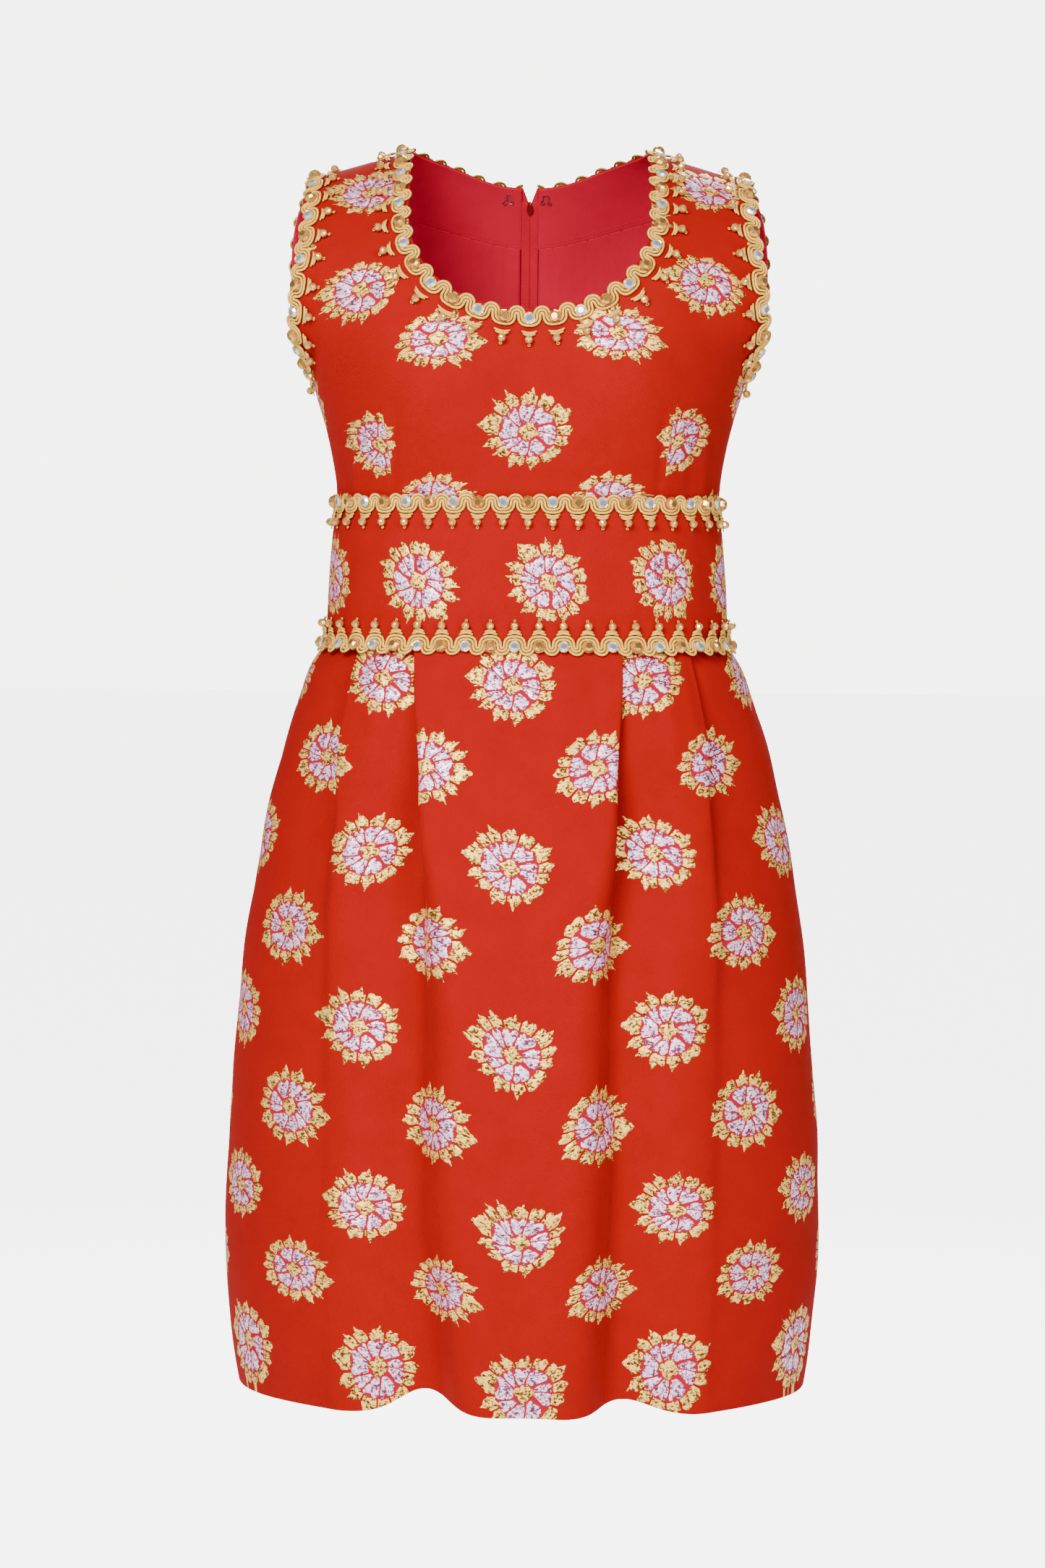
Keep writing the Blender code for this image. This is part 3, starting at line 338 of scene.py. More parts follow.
class Bench:
    """Builds the nodes of one tree in a few words each."""

    def __init__(self, tree: bpy.types.NodeTree) -> None:
        """Starts on an existing tree."""
        self.tree = tree

    def add(self, kind: str, **settings: object) -> bpy.types.Node:
        """A node with its settings."""
        node = self.tree.nodes.new(kind)
        for name, value in settings.items():
            setattr(node, name, value)
        return node

    def join(self, value: object, socket: Socket) -> None:
        """Links a socket, or sets a plain value."""
        if isinstance(value, bpy.types.NodeSocket):
            self.tree.links.new(value, socket)
        elif isinstance(value, tuple) and socket.type == "RGBA":
            socket.default_value = (*value, 1.0)
        else:
            socket.default_value = value

    def math(self, operation: str, *values: object, clamp: bool = False) -> Socket:
        """A Math node's result."""
        node = self.add("ShaderNodeMath", operation=operation, use_clamp=clamp)
        for value, socket in zip(values, node.inputs):
            self.join(value, socket)
        return node.outputs[0]

    def vector(self, operation: str, *values: object) -> Socket:
        """A Vector Math node's vector."""
        node = self.add("ShaderNodeVectorMath", operation=operation)
        for value, socket in zip(values, node.inputs):
            self.join(value, socket)
        return node.outputs[0]

    def span(self, value: object, low: float, high: float, start: float = 0.0, end: float = 1.0) -> Socket:
        """A smooth step: start below low, end above high."""
        node = self.add("ShaderNodeMapRange", interpolation_type="SMOOTHSTEP")
        for name, item in zip(
            ("Value", "From Min", "From Max", "To Min", "To Max"), (value, low, high, start, end)
        ):
            self.join(item, node.inputs[name])
        return node.outputs["Result"]

    def mix(self, share: object, one: object, two: object) -> Socket:
        """A mix of two colours."""
        node = self.add("ShaderNodeMix", data_type="RGBA")
        self.join(share, node.inputs["Factor"])
        self.join(one, node.inputs[6])
        self.join(two, node.inputs[7])
        return node.outputs[2]

    def noise(self, place: object, scale: float, detail: float = 2.0, rough: float = 0.5) -> Socket:
        """Noise from 0 to 1 at a scale in waves a metre."""
        node = self.add("ShaderNodeTexNoise")
        self.join(place, node.inputs["Vector"])
        node.inputs["Scale"].default_value = scale
        node.inputs["Detail"].default_value = detail
        node.inputs["Roughness"].default_value = rough
        return node.outputs["Fac"]

    def ramp(self, value: Socket, stops: tuple[tuple[float, Colour], ...]) -> Socket:
        """A colour ramp's colour."""
        node = self.add("ShaderNodeValToRGB")
        elements = node.color_ramp.elements
        while len(elements) < len(stops):
            elements.new(0.5)
        for element, (place, colour) in zip(elements, stops):
            element.position = place
            element.color = (*colour, 1.0)
        self.join(value, node.inputs[0])
        return node.outputs[0]

    def group(self, tree: bpy.types.NodeTree, **inputs: object) -> bpy.types.Node:
        """A node group with its inputs."""
        node = self.add("ShaderNodeGroup")
        node.node_tree = tree
        for name, value in inputs.items():
            self.join(value, node.inputs[name.replace("_", " ")])
        return node


def new_group(name: str, inputs: dict[str, tuple[str, object]], outputs: dict[str, str]) -> tuple:
    """An empty node group.

    Args:
        name: the group's name.
        inputs: kind and default of each input, by name.
        outputs: kind of each output, by name.

    Returns:
        The tree, its bench, its input node and its output node.
    """
    tree = bpy.data.node_groups.new(name, "ShaderNodeTree")
    for title, (kind, default) in inputs.items():
        socket = tree.interface.new_socket(title, in_out="INPUT", socket_type=f"NodeSocket{kind}")
        if default is not None:
            socket.default_value = default
    for title, kind in outputs.items():
        tree.interface.new_socket(title, in_out="OUTPUT", socket_type=f"NodeSocket{kind}")
    bench = Bench(tree)
    return tree, bench, bench.add("NodeGroupInput"), bench.add("NodeGroupOutput")


@dataclass(frozen=True)
class Lattice:
    """The woven pattern's repeat: flowers in columns, every other column dropped by half a repeat."""

    wide: float = 0.124
    high: float = 0.130

    def place(self, column_at: float, row: float) -> tuple[float, float]:
        """A flower's place on the flat cloth."""
        return column_at * self.wide / 2, row * self.high


LATTICE = Lattice()


@dataclass(frozen=True)
class FlowerDesign:
    """One woven flower: a gold eye, a ring of lilac hearts and an outer ring of gold leaves."""

    half_wide: float = 0.0318
    half_high: float = 0.0288
    leaves: int = 13
    hearts: int = 9
    eye: float = 0.20
    ring: float = 0.63
    line: float = 0.034

    def group(self) -> bpy.types.NodeTree:
        """Masks and relief of the flowers over the flat cloth."""
        tree, b, given, result = new_group(
            "woven_flowers",
            {"Cloth": ("Vector", (0.0, 0.0, 0.0))},
            {"Gold": "Float", "Lilac": "Float", "Outline": "Float", "Relief": "Float"},
        )
        cloth = given.outputs["Cloth"]
        fray = b.noise(cloth, 900, 1.0)
        wander = b.noise(cloth, 260, 2.0)
        split = b.add("ShaderNodeSeparateXYZ")
        b.join(cloth, split.inputs[0])
        a = b.math("DIVIDE", split.outputs[0], LATTICE.wide)
        c = b.math("DIVIDE", split.outputs[1], LATTICE.high)
        p = b.math("ROUND", b.math("ADD", a, c))
        q = b.math("ROUND", b.math("SUBTRACT", a, c))
        across = b.math("SUBTRACT", a, b.math("MULTIPLY", b.math("ADD", p, q), 0.5))
        up = b.math("SUBTRACT", c, b.math("MULTIPLY", b.math("SUBTRACT", p, q), 0.5))
        lx = b.math("MULTIPLY", across, LATTICE.wide / self.half_wide)
        ly = b.math("MULTIPLY", up, LATTICE.high / self.half_high)
        odd = b.math("FLOORED_MODULO", b.math("ADD", p, q), 2.0)
        turn = b.math("MULTIPLY_ADD", odd, -2.0, 1.0)
        lx, ly = b.math("MULTIPLY", lx, turn), b.math("MULTIPLY", ly, turn)
        radius = b.math("SQRT", b.math("ADD", b.math("MULTIPLY", lx, lx), b.math("MULTIPLY", ly, ly)))
        wobble = b.math(
            "ADD", b.math("MULTIPLY_ADD", wander, 0.10, -0.05), b.math("MULTIPLY_ADD", fray, 0.07, -0.035)
        )
        r = b.math("ADD", radius, wobble)
        theta = b.math("ARCTAN2", ly, lx)
        gold_leaf, leaf_dome = self.leaf_ring(b, r, theta)
        heart, heart_dome = self.heart_ring(b, r, theta)
        square = b.math(
            "MULTIPLY_ADD", b.math("COSINE", b.math("MULTIPLY_ADD", theta, 4.0, 0.8)), 0.03, self.eye
        )
        eye_depth = b.math("SUBTRACT", square, r)
        eye = b.span(eye_depth, -0.006, 0.006)
        gold = b.math("MAXIMUM", gold_leaf, eye)
        outline = b.math(
            "MULTIPLY", b.span(r, self.ring + 0.035, self.ring + 0.015), b.math("SUBTRACT", 1.0, gold)
        )
        outline = b.math("MULTIPLY", outline, b.math("SUBTRACT", 1.0, heart))
        dome = b.math("MAXIMUM", b.math("MAXIMUM", leaf_dome, heart_dome), b.span(eye_depth, -0.02, 0.12))
        for name, value in zip(("Gold", "Lilac", "Outline", "Relief"), (gold, heart, outline, dome)):
            b.join(value, result.inputs[name])
        return tree

    def petal(
        self, b: Bench, theta: Socket, count: int, phase: float, sway: float
    ) -> tuple[Socket, Socket]:
        """Which petal an angle falls in and how far across it, from -1 to 1."""
        bent = b.math(
            "ADD",
            theta,
            b.math("MULTIPLY", b.math("SINE", b.math("MULTIPLY_ADD", theta, 3.0, phase)), sway),
        )
        bent = b.math(
            "ADD",
            bent,
            b.math("MULTIPLY", b.math("SINE", b.math("MULTIPLY_ADD", theta, 5.0, 2 * phase)), sway * 0.7),
        )
        turns = b.math("MULTIPLY_ADD", bent, count / (2 * math.pi), count + phase)
        index = b.math("FLOORED_MODULO", b.math("FLOOR", turns), float(count))
        across = b.math("MULTIPLY_ADD", b.math("FRACT", turns), 2.0, -1.0)
        return index, across

    def per_petal(self, b: Bench, index: Socket, seed: float) -> Socket:
        """A number from 0 to 1 that is the petal's own."""
        return b.math(
            "FRACT",
            b.math("MULTIPLY", b.math("SINE", b.math("MULTIPLY_ADD", index, 12.9898, seed)), 437.585),
        )

    def leaf_ring(self, b: Bench, r: Socket, theta: Socket) -> tuple[Socket, Socket]:
        """The outer gold leaves: some blunt and scalloped, some drawn out to a point."""
        index, across = self.petal(b, theta, self.leaves, 0.37, 0.085)
        own, other = self.per_petal(b, index, 0.7), self.per_petal(b, index, 3.1)
        tailed = b.span(other, 0.66, 0.70)
        lean = b.math("MULTIPLY_ADD", own, 0.9, -0.45)
        beside = b.math("ABSOLUTE", b.math("SUBTRACT", across, lean))
        lumps = b.math(
            "ABSOLUTE", b.math("SINE", b.math("MULTIPLY_ADD", across, 2.6, b.math("MULTIPLY", other, 6.0)))
        )
        tip = b.math("ADD", b.math("MULTIPLY_ADD", own, 0.09, 0.85), b.math("MULTIPLY", lumps, 0.07))
        tip = b.math(
            "SUBTRACT", tip, b.math("MULTIPLY", b.math("POWER", b.math("ABSOLUTE", across), 3.0), 0.13)
        )
        tail = b.math("MAXIMUM", b.math("MULTIPLY_ADD", beside, -0.50, 0.13), 0.0)
        tip = b.math("MULTIPLY_ADD", tail, tailed, tip)
        side = b.math(
            "MULTIPLY", b.math("SUBTRACT", 1.0, b.math("ABSOLUTE", across)), 0.85 * math.pi / self.leaves
        )
        side = b.math("SUBTRACT", side, b.math("MULTIPLY_ADD", own, 0.016, 0.020))
        depth = b.math("MINIMUM", b.math("SUBTRACT", tip, r), b.math("SUBTRACT", r, self.ring + 0.028))
        depth = b.math("MINIMUM", depth, side)
        return b.span(depth, -0.004, 0.006), b.span(depth, -0.01, 0.09)

    def heart_ring(self, b: Bench, r: Socket, theta: Socket) -> tuple[Socket, Socket]:
        """The lilac hearts with their crimson outlines left open between them."""
        swirl = b.math("ADD", theta, b.math("MULTIPLY", b.math("SUBTRACT", r, 0.4), 0.5))
        index, across = self.petal(b, swirl, self.hearts, 0.11, 0.12)
        own = self.per_petal(b, index, 1.9)
        away = b.math("ABSOLUTE", b.math("SUBTRACT", across, b.math("MULTIPLY_ADD", own, 0.3, -0.15)))
        lobes = b.math(
            "MULTIPLY", b.math("SINE", b.math("MULTIPLY", b.math("MINIMUM", away, 1.0), 3.1416)), 0.085
        )
        outer = b.math("ADD", b.math("MULTIPLY_ADD", own, 0.04, self.ring - 0.095), lobes)
        outer = b.math("SUBTRACT", outer, b.math("MULTIPLY", b.math("POWER", away, 6.0), 0.06))
        inner = b.math("MULTIPLY_ADD", own, 0.025, self.eye + 0.03)
        narrowing = b.math("MULTIPLY", b.math("MAXIMUM", b.math("SUBTRACT", 0.42, r), 0.0), 0.07)
        side = b.math(
            "MULTIPLY",
            b.math("MULTIPLY", b.math("SUBTRACT", 1.0, b.math("ABSOLUTE", across)), r),
            math.pi / self.hearts,
        )
        side = b.math("SUBTRACT", side, b.math("ADD", narrowing, self.line * 0.6))
        depth = b.math("MINIMUM", b.math("SUBTRACT", outer, r), b.math("SUBTRACT", r, inner))
        depth = b.math("MINIMUM", depth, side)
        return b.span(depth, -0.006, 0.008), b.span(depth, -0.01, 0.10)


@dataclass(frozen=True)
class WeaveDesign:
    """Fine cloth structure: diagonal ribs crossed by threads, with a little slub."""

    def group(self) -> bpy.types.NodeTree:
        """Height and shade of the weave over the flat cloth."""
        tree, b, given, result = new_group(
            "fine_weave",
            {"Cloth": ("Vector", (0.0, 0.0, 0.0)), "Ribs": ("Float", 900.0), "Slub": ("Float", 0.5)},
            {"Height": "Float", "Shade": "Float"},
        )
        cloth, ribs = given.outputs["Cloth"], given.outputs["Ribs"]
        split = b.add("ShaderNodeSeparateXYZ")
        b.join(cloth, split.inputs[0])
        drift = b.math("MULTIPLY", b.noise(cloth, 320, 2.0), 2.4)
        diagonal = b.math(
            "ADD", b.math("MULTIPLY", b.math("ADD", split.outputs[0], split.outputs[1]), ribs), drift
        )
        cross = b.math(
            "MULTIPLY",
            b.math("SUBTRACT", split.outputs[0], split.outputs[1]),
            b.math("MULTIPLY", ribs, 1.7),
        )
        rib = b.math("SINE", b.math("MULTIPLY", diagonal, 6.2832))
        thread = b.math("SINE", b.math("MULTIPLY", cross, 6.2832))
        grain = b.noise(cloth, 1500, 2.0, 0.6)
        height = b.math("ADD", b.math("MULTIPLY_ADD", rib, 0.22, 0.5), b.math("MULTIPLY", thread, 0.10))
        height = b.math("ADD", height, b.math("MULTIPLY_ADD", grain, 0.8, -0.4))
        slub = b.math("MULTIPLY", b.math("SUBTRACT", b.noise(cloth, 45, 3.0), 0.5), given.outputs["Slub"])
        shade = b.math("ADD", b.math("MULTIPLY", b.math("SUBTRACT", height, 0.5), 0.5), slub)
        b.join(height, result.inputs["Height"])
        b.join(shade, result.inputs["Shade"])
        return tree


@dataclass(frozen=True)
class FoilDesign:
    """Flattened metal thread: dark gaps and painted highlight glints between short floats."""

    def group(self) -> bpy.types.NodeTree:
        """Shade and height of the metal floats: the shade runs from the dark gaps to the painted highlight
        glints.
        """
        tree, b, given, result = new_group(
            "metal_thread",
            {"Cloth": ("Vector", (0.0, 0.0, 0.0)), "Fine": ("Float", 1.0)},
            {"Shade": "Float", "Height": "Float"},
        )
        scaled = b.vector("MULTIPLY", given.outputs["Cloth"], (1.0, 1.5, 1.0))
        speck = b.noise(scaled, 430, 3.0, 0.75)
        patch = b.noise(given.outputs["Cloth"], 210, 1.0)
        both = b.math("ADD", b.math("MULTIPLY", speck, 0.72), b.math("MULTIPLY", patch, 0.28))
        shade = b.span(both, 0.40, 0.58)
        b.join(shade, result.inputs["Shade"])
        b.join(b.math("MULTIPLY", both, given.outputs["Fine"]), result.inputs["Height"])
        return tree


class SharedGroups:
    """The node groups that more than one material uses, each built once."""

    def __init__(self) -> None:
        """Builds them all."""
        self.flowers = FlowerDesign().group()
        self.weave = WeaveDesign().group()
        self.foil = FoilDesign().group()


def new_material(name: str) -> tuple[bpy.types.Material, Bench, bpy.types.Node]:
    """A material with its bench and its Principled shader."""
    made = bpy.data.materials.new(name)
    made.use_nodes = True
    return made, Bench(made.node_tree), made.node_tree.nodes["Principled BSDF"]


def bump(b: Bench, height: Socket, strength: float, distance: float) -> Socket:
    """A bump normal, its distance in metres."""
    node = b.add("ShaderNodeBump")
    node.inputs["Strength"].default_value = strength
    node.inputs["Distance"].default_value = distance
    b.join(height, node.inputs["Height"])
    return node.outputs["Normal"]


@dataclass(frozen=True)
class BrocadeFinish:
    """Red crepe ground with woven metallic flowers, their foil speckled with painted highlight glints."""

    ground: Colour = (0.31, 0.0025, 0.0014)
    ground_dark: Colour = (0.16, 0.0015, 0.0008)
    outline: Colour = (0.36, 0.002, 0.016)
    gold_dark: Colour = (0.09, 0.025, 0.003)
    gold: Colour = (0.62, 0.27, 0.030)
    # Painted highlight: the palest gold, for the foil's glints.
    gold_light: Colour = (1.0, 0.64, 0.15)
    lilac_dark: Colour = (0.14, 0.025, 0.07)
    lilac: Colour = (0.50, 0.21, 0.37)
    # Painted highlight: the palest lilac, for the foil's glints.
    lilac_light: Colour = (0.98, 0.70, 0.90)

    def build(self, groups: SharedGroups) -> bpy.types.Material:
        """The material, on the piece's own cloth map."""
        made, b, shader = new_material("red_brocade_cloth")
        cloth = b.add("ShaderNodeUVMap", uv_map="cloth").outputs[0]
        flower = b.group(groups.flowers, Cloth=cloth)
        weave = b.group(groups.weave, Cloth=cloth, Ribs=820.0, Slub=0.35)
        foil = b.group(groups.foil, Cloth=cloth, Fine=1.0)
        gold, lilac, line = flower.outputs["Gold"], flower.outputs["Lilac"], flower.outputs["Outline"]
        metal = b.math("MAXIMUM", gold, lilac)
        shade = b.math("ADD", weave.outputs["Shade"], 0.72, clamp=True)
        ground = b.mix(shade, self.ground_dark, self.ground)
        ground = b.mix(line, ground, self.outline)
        dark = b.span(foil.outputs["Shade"], 0.0, 1.0)
        # Each foil ramp runs from dark gaps through the metal's colour to painted highlight glints.
        gold_look = b.ramp(dark, ((0.14, self.gold_dark), (0.40, self.gold), (0.74, self.gold_light)))
        lilac_look = b.ramp(dark, ((0.14, self.lilac_dark), (0.36, self.lilac), (0.70, self.lilac_light)))
        look = b.mix(gold, b.mix(lilac, ground, lilac_look), gold_look)
        b.join(look, shader.inputs["Base Color"])
        b.join(b.math("MULTIPLY", metal, 0.40), shader.inputs["Metallic"])
        b.join(b.span(metal, 0.0, 1.0, 0.82, 0.38), shader.inputs["Roughness"])
        shader.inputs["Sheen Weight"].default_value = 0.10
        shader.inputs["Sheen Tint"].default_value = (1.0, 0.05, 0.03, 1.0)
        shader.inputs["Specular IOR Level"].default_value = 0.08
        weave_height = b.math("MULTIPLY", weave.outputs["Height"], b.math("SUBTRACT", 1.0, metal))
        height = b.math("MULTIPLY", b.math("MULTIPLY", foil.outputs["Height"], metal), 1.6)
        height = b.math("ADD", height, b.math("MULTIPLY", weave_height, 0.45))
        height = b.math("ADD", height, b.math("MULTIPLY", flower.outputs["Relief"], 2.2))
        b.join(bump(b, height, 1.0, 0.00022), shader.inputs["Normal"])
        return made


@dataclass(frozen=True)
class PlainClothFinish:
    """A plain woven cloth in one colour, for the lining, facing, tape and sewing thread."""

    name: str
    colour: Colour
    dark: Colour
    ribs: float = 1100.0
    roughness: float = 0.85
    depth: float = 0.00012

    def build(self, groups: SharedGroups) -> bpy.types.Material:
        """The material, on the piece's own cloth map."""
        made, b, shader = new_material(self.name)
        cloth = b.add("ShaderNodeUVMap", uv_map="cloth").outputs[0]
        weave = b.group(groups.weave, Cloth=cloth, Ribs=self.ribs, Slub=0.6)
        shade = b.math("ADD", weave.outputs["Shade"], 0.66, clamp=True)
        b.join(b.mix(shade, self.dark, self.colour), shader.inputs["Base Color"])
        shader.inputs["Roughness"].default_value = self.roughness
        shader.inputs["Specular IOR Level"].default_value = 0.08
        b.join(bump(b, weave.outputs["Height"], 0.6, self.depth), shader.inputs["Normal"])
        return made


@dataclass(frozen=True)
class GimpFinish:
    """Gold gimp cord: a metallic thread wound slantwise round a core, with painted shade on its flanks, its
    underside and between its winds.
    """

    # dark is the painted shade colour of the cord, light its lit colour; random wear tone also mixes between
    # them.
    dark: Colour = (0.20, 0.075, 0.008)
    light: Colour = (1.0, 0.60, 0.10)
    winds: float = 1500.0

    def build(self) -> bpy.types.Material:
        """The material, with the winding on the cord's own map and painted shade on the cord."""
        made, b, shader = new_material("gold_gimp_cord")
        split = b.add("ShaderNodeSeparateXYZ")
        b.join(b.add("ShaderNodeUVMap", uv_map="cloth").outputs[0], split.inputs[0])
        slant = b.math("ADD", b.math("MULTIPLY", split.outputs[0], self.winds), split.outputs[1])
        # Painted shade: the colour darkens in the grooves between winds.
        wind = b.math("MULTIPLY_ADD", b.math("SINE", b.math("MULTIPLY", slant, 6.2832)), 0.5, 0.5)
        place = b.add("ShaderNodeTexCoord").outputs["Object"]
        worn = b.noise(place, 600, 2.0)
        tone = b.math(
            "ADD", b.math("MULTIPLY", wind, 0.38), b.math("MULTIPLY_ADD", worn, 0.6, 0.38), clamp=True
        )
        # Painted shade: the cord darkens towards its flanks and underside.
        crown = b.math(
            "MULTIPLY_ADD", b.math("COSINE", b.math("MULTIPLY", split.outputs[1], 6.2832)), -0.5, 0.5
        )
        tone = b.math("MULTIPLY", tone, b.span(crown, 0.05, 0.75))
        b.join(b.mix(tone, self.dark, self.light), shader.inputs["Base Color"])
        shader.inputs["Metallic"].default_value = 0.50
        shader.inputs["Roughness"].default_value = 0.38
        b.join(bump(b, wind, 0.8, 0.00018), shader.inputs["Normal"])
        return made


@dataclass(frozen=True)
class GildedFinish:
    """Gold-plated faceted beads, domes and stone cups, a little worn, with facets toned lighter or darker as
    painted reflection.
    """

    name: str
    colour: Colour = (1.0, 0.62, 0.18)
    # worn is the colour of the wear spots and also of facets and tables darkened as painted reflection.
    worn: Colour = (0.50, 0.26, 0.07)
    roughness: float = 0.16

    def build(self) -> bpy.types.Material:
        """The material, with each facet's own tone of painted reflection added to the spots of wear."""
        made, b, shader = new_material(self.name)
        place = b.add("ShaderNodeTexCoord").outputs["Object"]
        worn = b.span(b.noise(place, 380, 2.0), 0.56, 0.74)
        # Painted reflection: each facet's tone darkens it towards the worn colour.
        tone = b.add("ShaderNodeAttribute", attribute_name="facet").outputs["Fac"]
        look = b.mix(b.math("ADD", worn, tone, clamp=True), self.colour, self.worn)
        b.join(look, shader.inputs["Base Color"])
        shader.inputs["Metallic"].default_value = 0.72
        b.join(b.span(worn, 0.0, 1.0, self.roughness, self.roughness + 0.2), shader.inputs["Roughness"])
        return made


@dataclass(frozen=True)
class StoneFinish:
    """A foil-backed clear stone: pale facets with a grey heart, the facet tones and the grey heart being
    painted reflection.
    """

    light: Colour = (0.93, 0.94, 0.97)
    # Painted reflection: the colour of the darker facets and the grey table.
    dark: Colour = (0.10, 0.12, 0.15)

    def build(self) -> bpy.types.Material:
        """The material, with each facet's own tone of painted reflection under a clear coat."""
        made, b, shader = new_material("clear_stone")
        tone = b.add("ShaderNodeAttribute", attribute_name="facet").outputs["Fac"]
        place = b.add("ShaderNodeTexCoord").outputs["Object"]
        tint = b.mix(b.noise(place, 500, 1.0), (0.80, 0.86, 0.98), self.light)
        b.join(b.mix(tone, tint, self.dark), shader.inputs["Base Color"])
        shader.inputs["Metallic"].default_value = 0.45
        shader.inputs["Roughness"].default_value = 0.08
        shader.inputs["Coat Weight"].default_value = 1.0
        shader.inputs["Coat Roughness"].default_value = 0.03
        return made


@dataclass(frozen=True)
class MetalFinish:
    """Small cast or drawn metal with fine scratches."""

    name: str
    colour: Colour
    roughness: float

    def build(self) -> bpy.types.Material:
        """The material, on object coordinates."""
        made, b, shader = new_material(self.name)
        place = b.add("ShaderNodeTexCoord").outputs["Object"]
        scuff = b.noise(place, 1800, 3.0, 0.6)
        darker = tuple(0.55 * value for value in self.colour)
        b.join(b.mix(b.span(scuff, 0.35, 0.65), darker, self.colour), shader.inputs["Base Color"])
        shader.inputs["Metallic"].default_value = 1.0
        b.join(b.span(scuff, 0.3, 0.7, self.roughness + 0.15, self.roughness), shader.inputs["Roughness"])
        b.join(bump(b, scuff, 0.2, 0.00005), shader.inputs["Normal"])
        return made


class Finishes:
    """Every material of the dress, built once."""

    def __init__(self) -> None:
        """Builds the shared groups, then the materials."""
        groups = SharedGroups()
        self.brocade = BrocadeFinish().build(groups)
        self.lining = PlainClothFinish(
            "red_plain_lining", (0.46, 0.005, 0.028), (0.34, 0.003, 0.016)
        ).build(groups)
        self.tape = PlainClothFinish(
            "zip_tape_weave", (0.44, 0.005, 0.024), (0.30, 0.003, 0.012), 700.0
        ).build(groups)
        self.thread = PlainClothFinish(
            "sewing_thread", (0.56, 0.008, 0.034), (0.40, 0.004, 0.018), 500.0
        ).build(groups)
        self.gimp = GimpFinish().build()
        self.gilded = GildedFinish("gilded_beads").build()
        # The domes' dark colour serves their wear spots and the facets and tables darkened as painted
        # reflection.
        self.dome = GildedFinish("gilded_domes", (1.0, 0.52, 0.12), (0.26, 0.12, 0.03), 0.14).build()
        self.stone = StoneFinish().build()
        self.red_enamel = MetalFinish("zip_slider_enamel", (0.72, 0.05, 0.06), 0.35).build()
        self.wire = MetalFinish("hook_wire_chrome", (0.78, 0.72, 0.75), 0.22).build()


# Cloth

# Where the cloth has columns beside the zip, as shares of the way from its edge to the liner's start
BESIDE_ZIP = (0, 0.33, 0.67)

# How many waves add up to the cloth's slow unevenness
WAVE_COUNT = 7


@dataclass
class Panel:
    """A piece of cloth by rows and columns: outer points, the ways out there, places on the flat cloth."""

    points: np.ndarray
    normals: np.ndarray
    flat: np.ndarray

    def cut(self, rows: slice, columns: slice) -> "Panel":
        """A part of the panel."""
        return Panel(*[grid[rows, columns] for grid in (self.points, self.normals, self.flat)])

    def mirrored(self, hand: Hand) -> "Panel":
        """The panel, or its mirror image for the left."""
        turn = np.array([hand.value, 1, 1])
        return Panel(self.points * turn, self.normals * turn, self.flat * [hand.value, 1])


def grid_normals(points: np.ndarray, rough: np.ndarray) -> np.ndarray:
    """The grid's own normals, on the same side as rough ones."""
    across, along = np.gradient(points, axis=1), np.gradient(points, axis=0)
    normals = unit(np.cross(across, along))
    return normals * np.where((normals * rough).sum(-1, keepdims=True) < 0, -1, 1)


def pressed(
    panel: Panel, creases: tuple[Crease, ...], grain: Callable[[np.ndarray], np.ndarray] | None = None
) -> Panel:
    """The panel with creases pressed into it and its normals made anew.

    Args:
        panel: the smooth panel.
        creases: ridges and troughs in (x, z).
        grain: an added height over the points, if any.

    Returns:
        The creased panel.
    """
    seen = panel.points[..., (0, 2)]
    lift = np.zeros(seen.shape[:2])
    for crease in creases:
        start, end = np.array(crease.start), np.array(crease.end)
        run = end - start
        t = ((seen - start) @ run) / (run @ run)
        nearest = start + np.clip(t, 0, 1)[..., None] * run
        apart = np.linalg.norm(seen - nearest, axis=-1)
        taper = ease(1.15 - np.abs(2 * t - 1) ** 2)
        lift += crease.height * np.exp(-((apart / crease.width) ** 2)) * taper
    if grain is not None:
        lift += grain(panel.points)
    points = panel.points + panel.normals * lift[..., None]
    return Panel(points, grid_normals(points, panel.normals), panel.flat)


def soft_waves(height: float, length: float, seed: int) -> Callable[[np.ndarray], np.ndarray]:
    """Slow, shallow unevenness of hanging cloth.

    Args:
        height: how far it moves the cloth.
        length: the longest wave.
        seed: which pattern.

    Returns:
        A height over points.
    """
    chance = np.random.default_rng(seed)
    waves = [
        (unit(chance.normal(size=3)), length * chance.uniform(0.4, 1.0), chance.uniform(0, 6.28))
        for _ in range(WAVE_COUNT)
    ]

    def read(points: np.ndarray) -> np.ndarray:
        """The height at points."""
        total = sum(np.sin(points @ way * (2 * np.pi / span) + phase) for way, span, phase in waves)
        return height * total / len(waves) * 1.6

    return read


class Rim(Enum):
    """How a panel's edge ends: cut square inside a seam, or turned in a soft fold."""

    SEAM = 0
    FOLD = 1


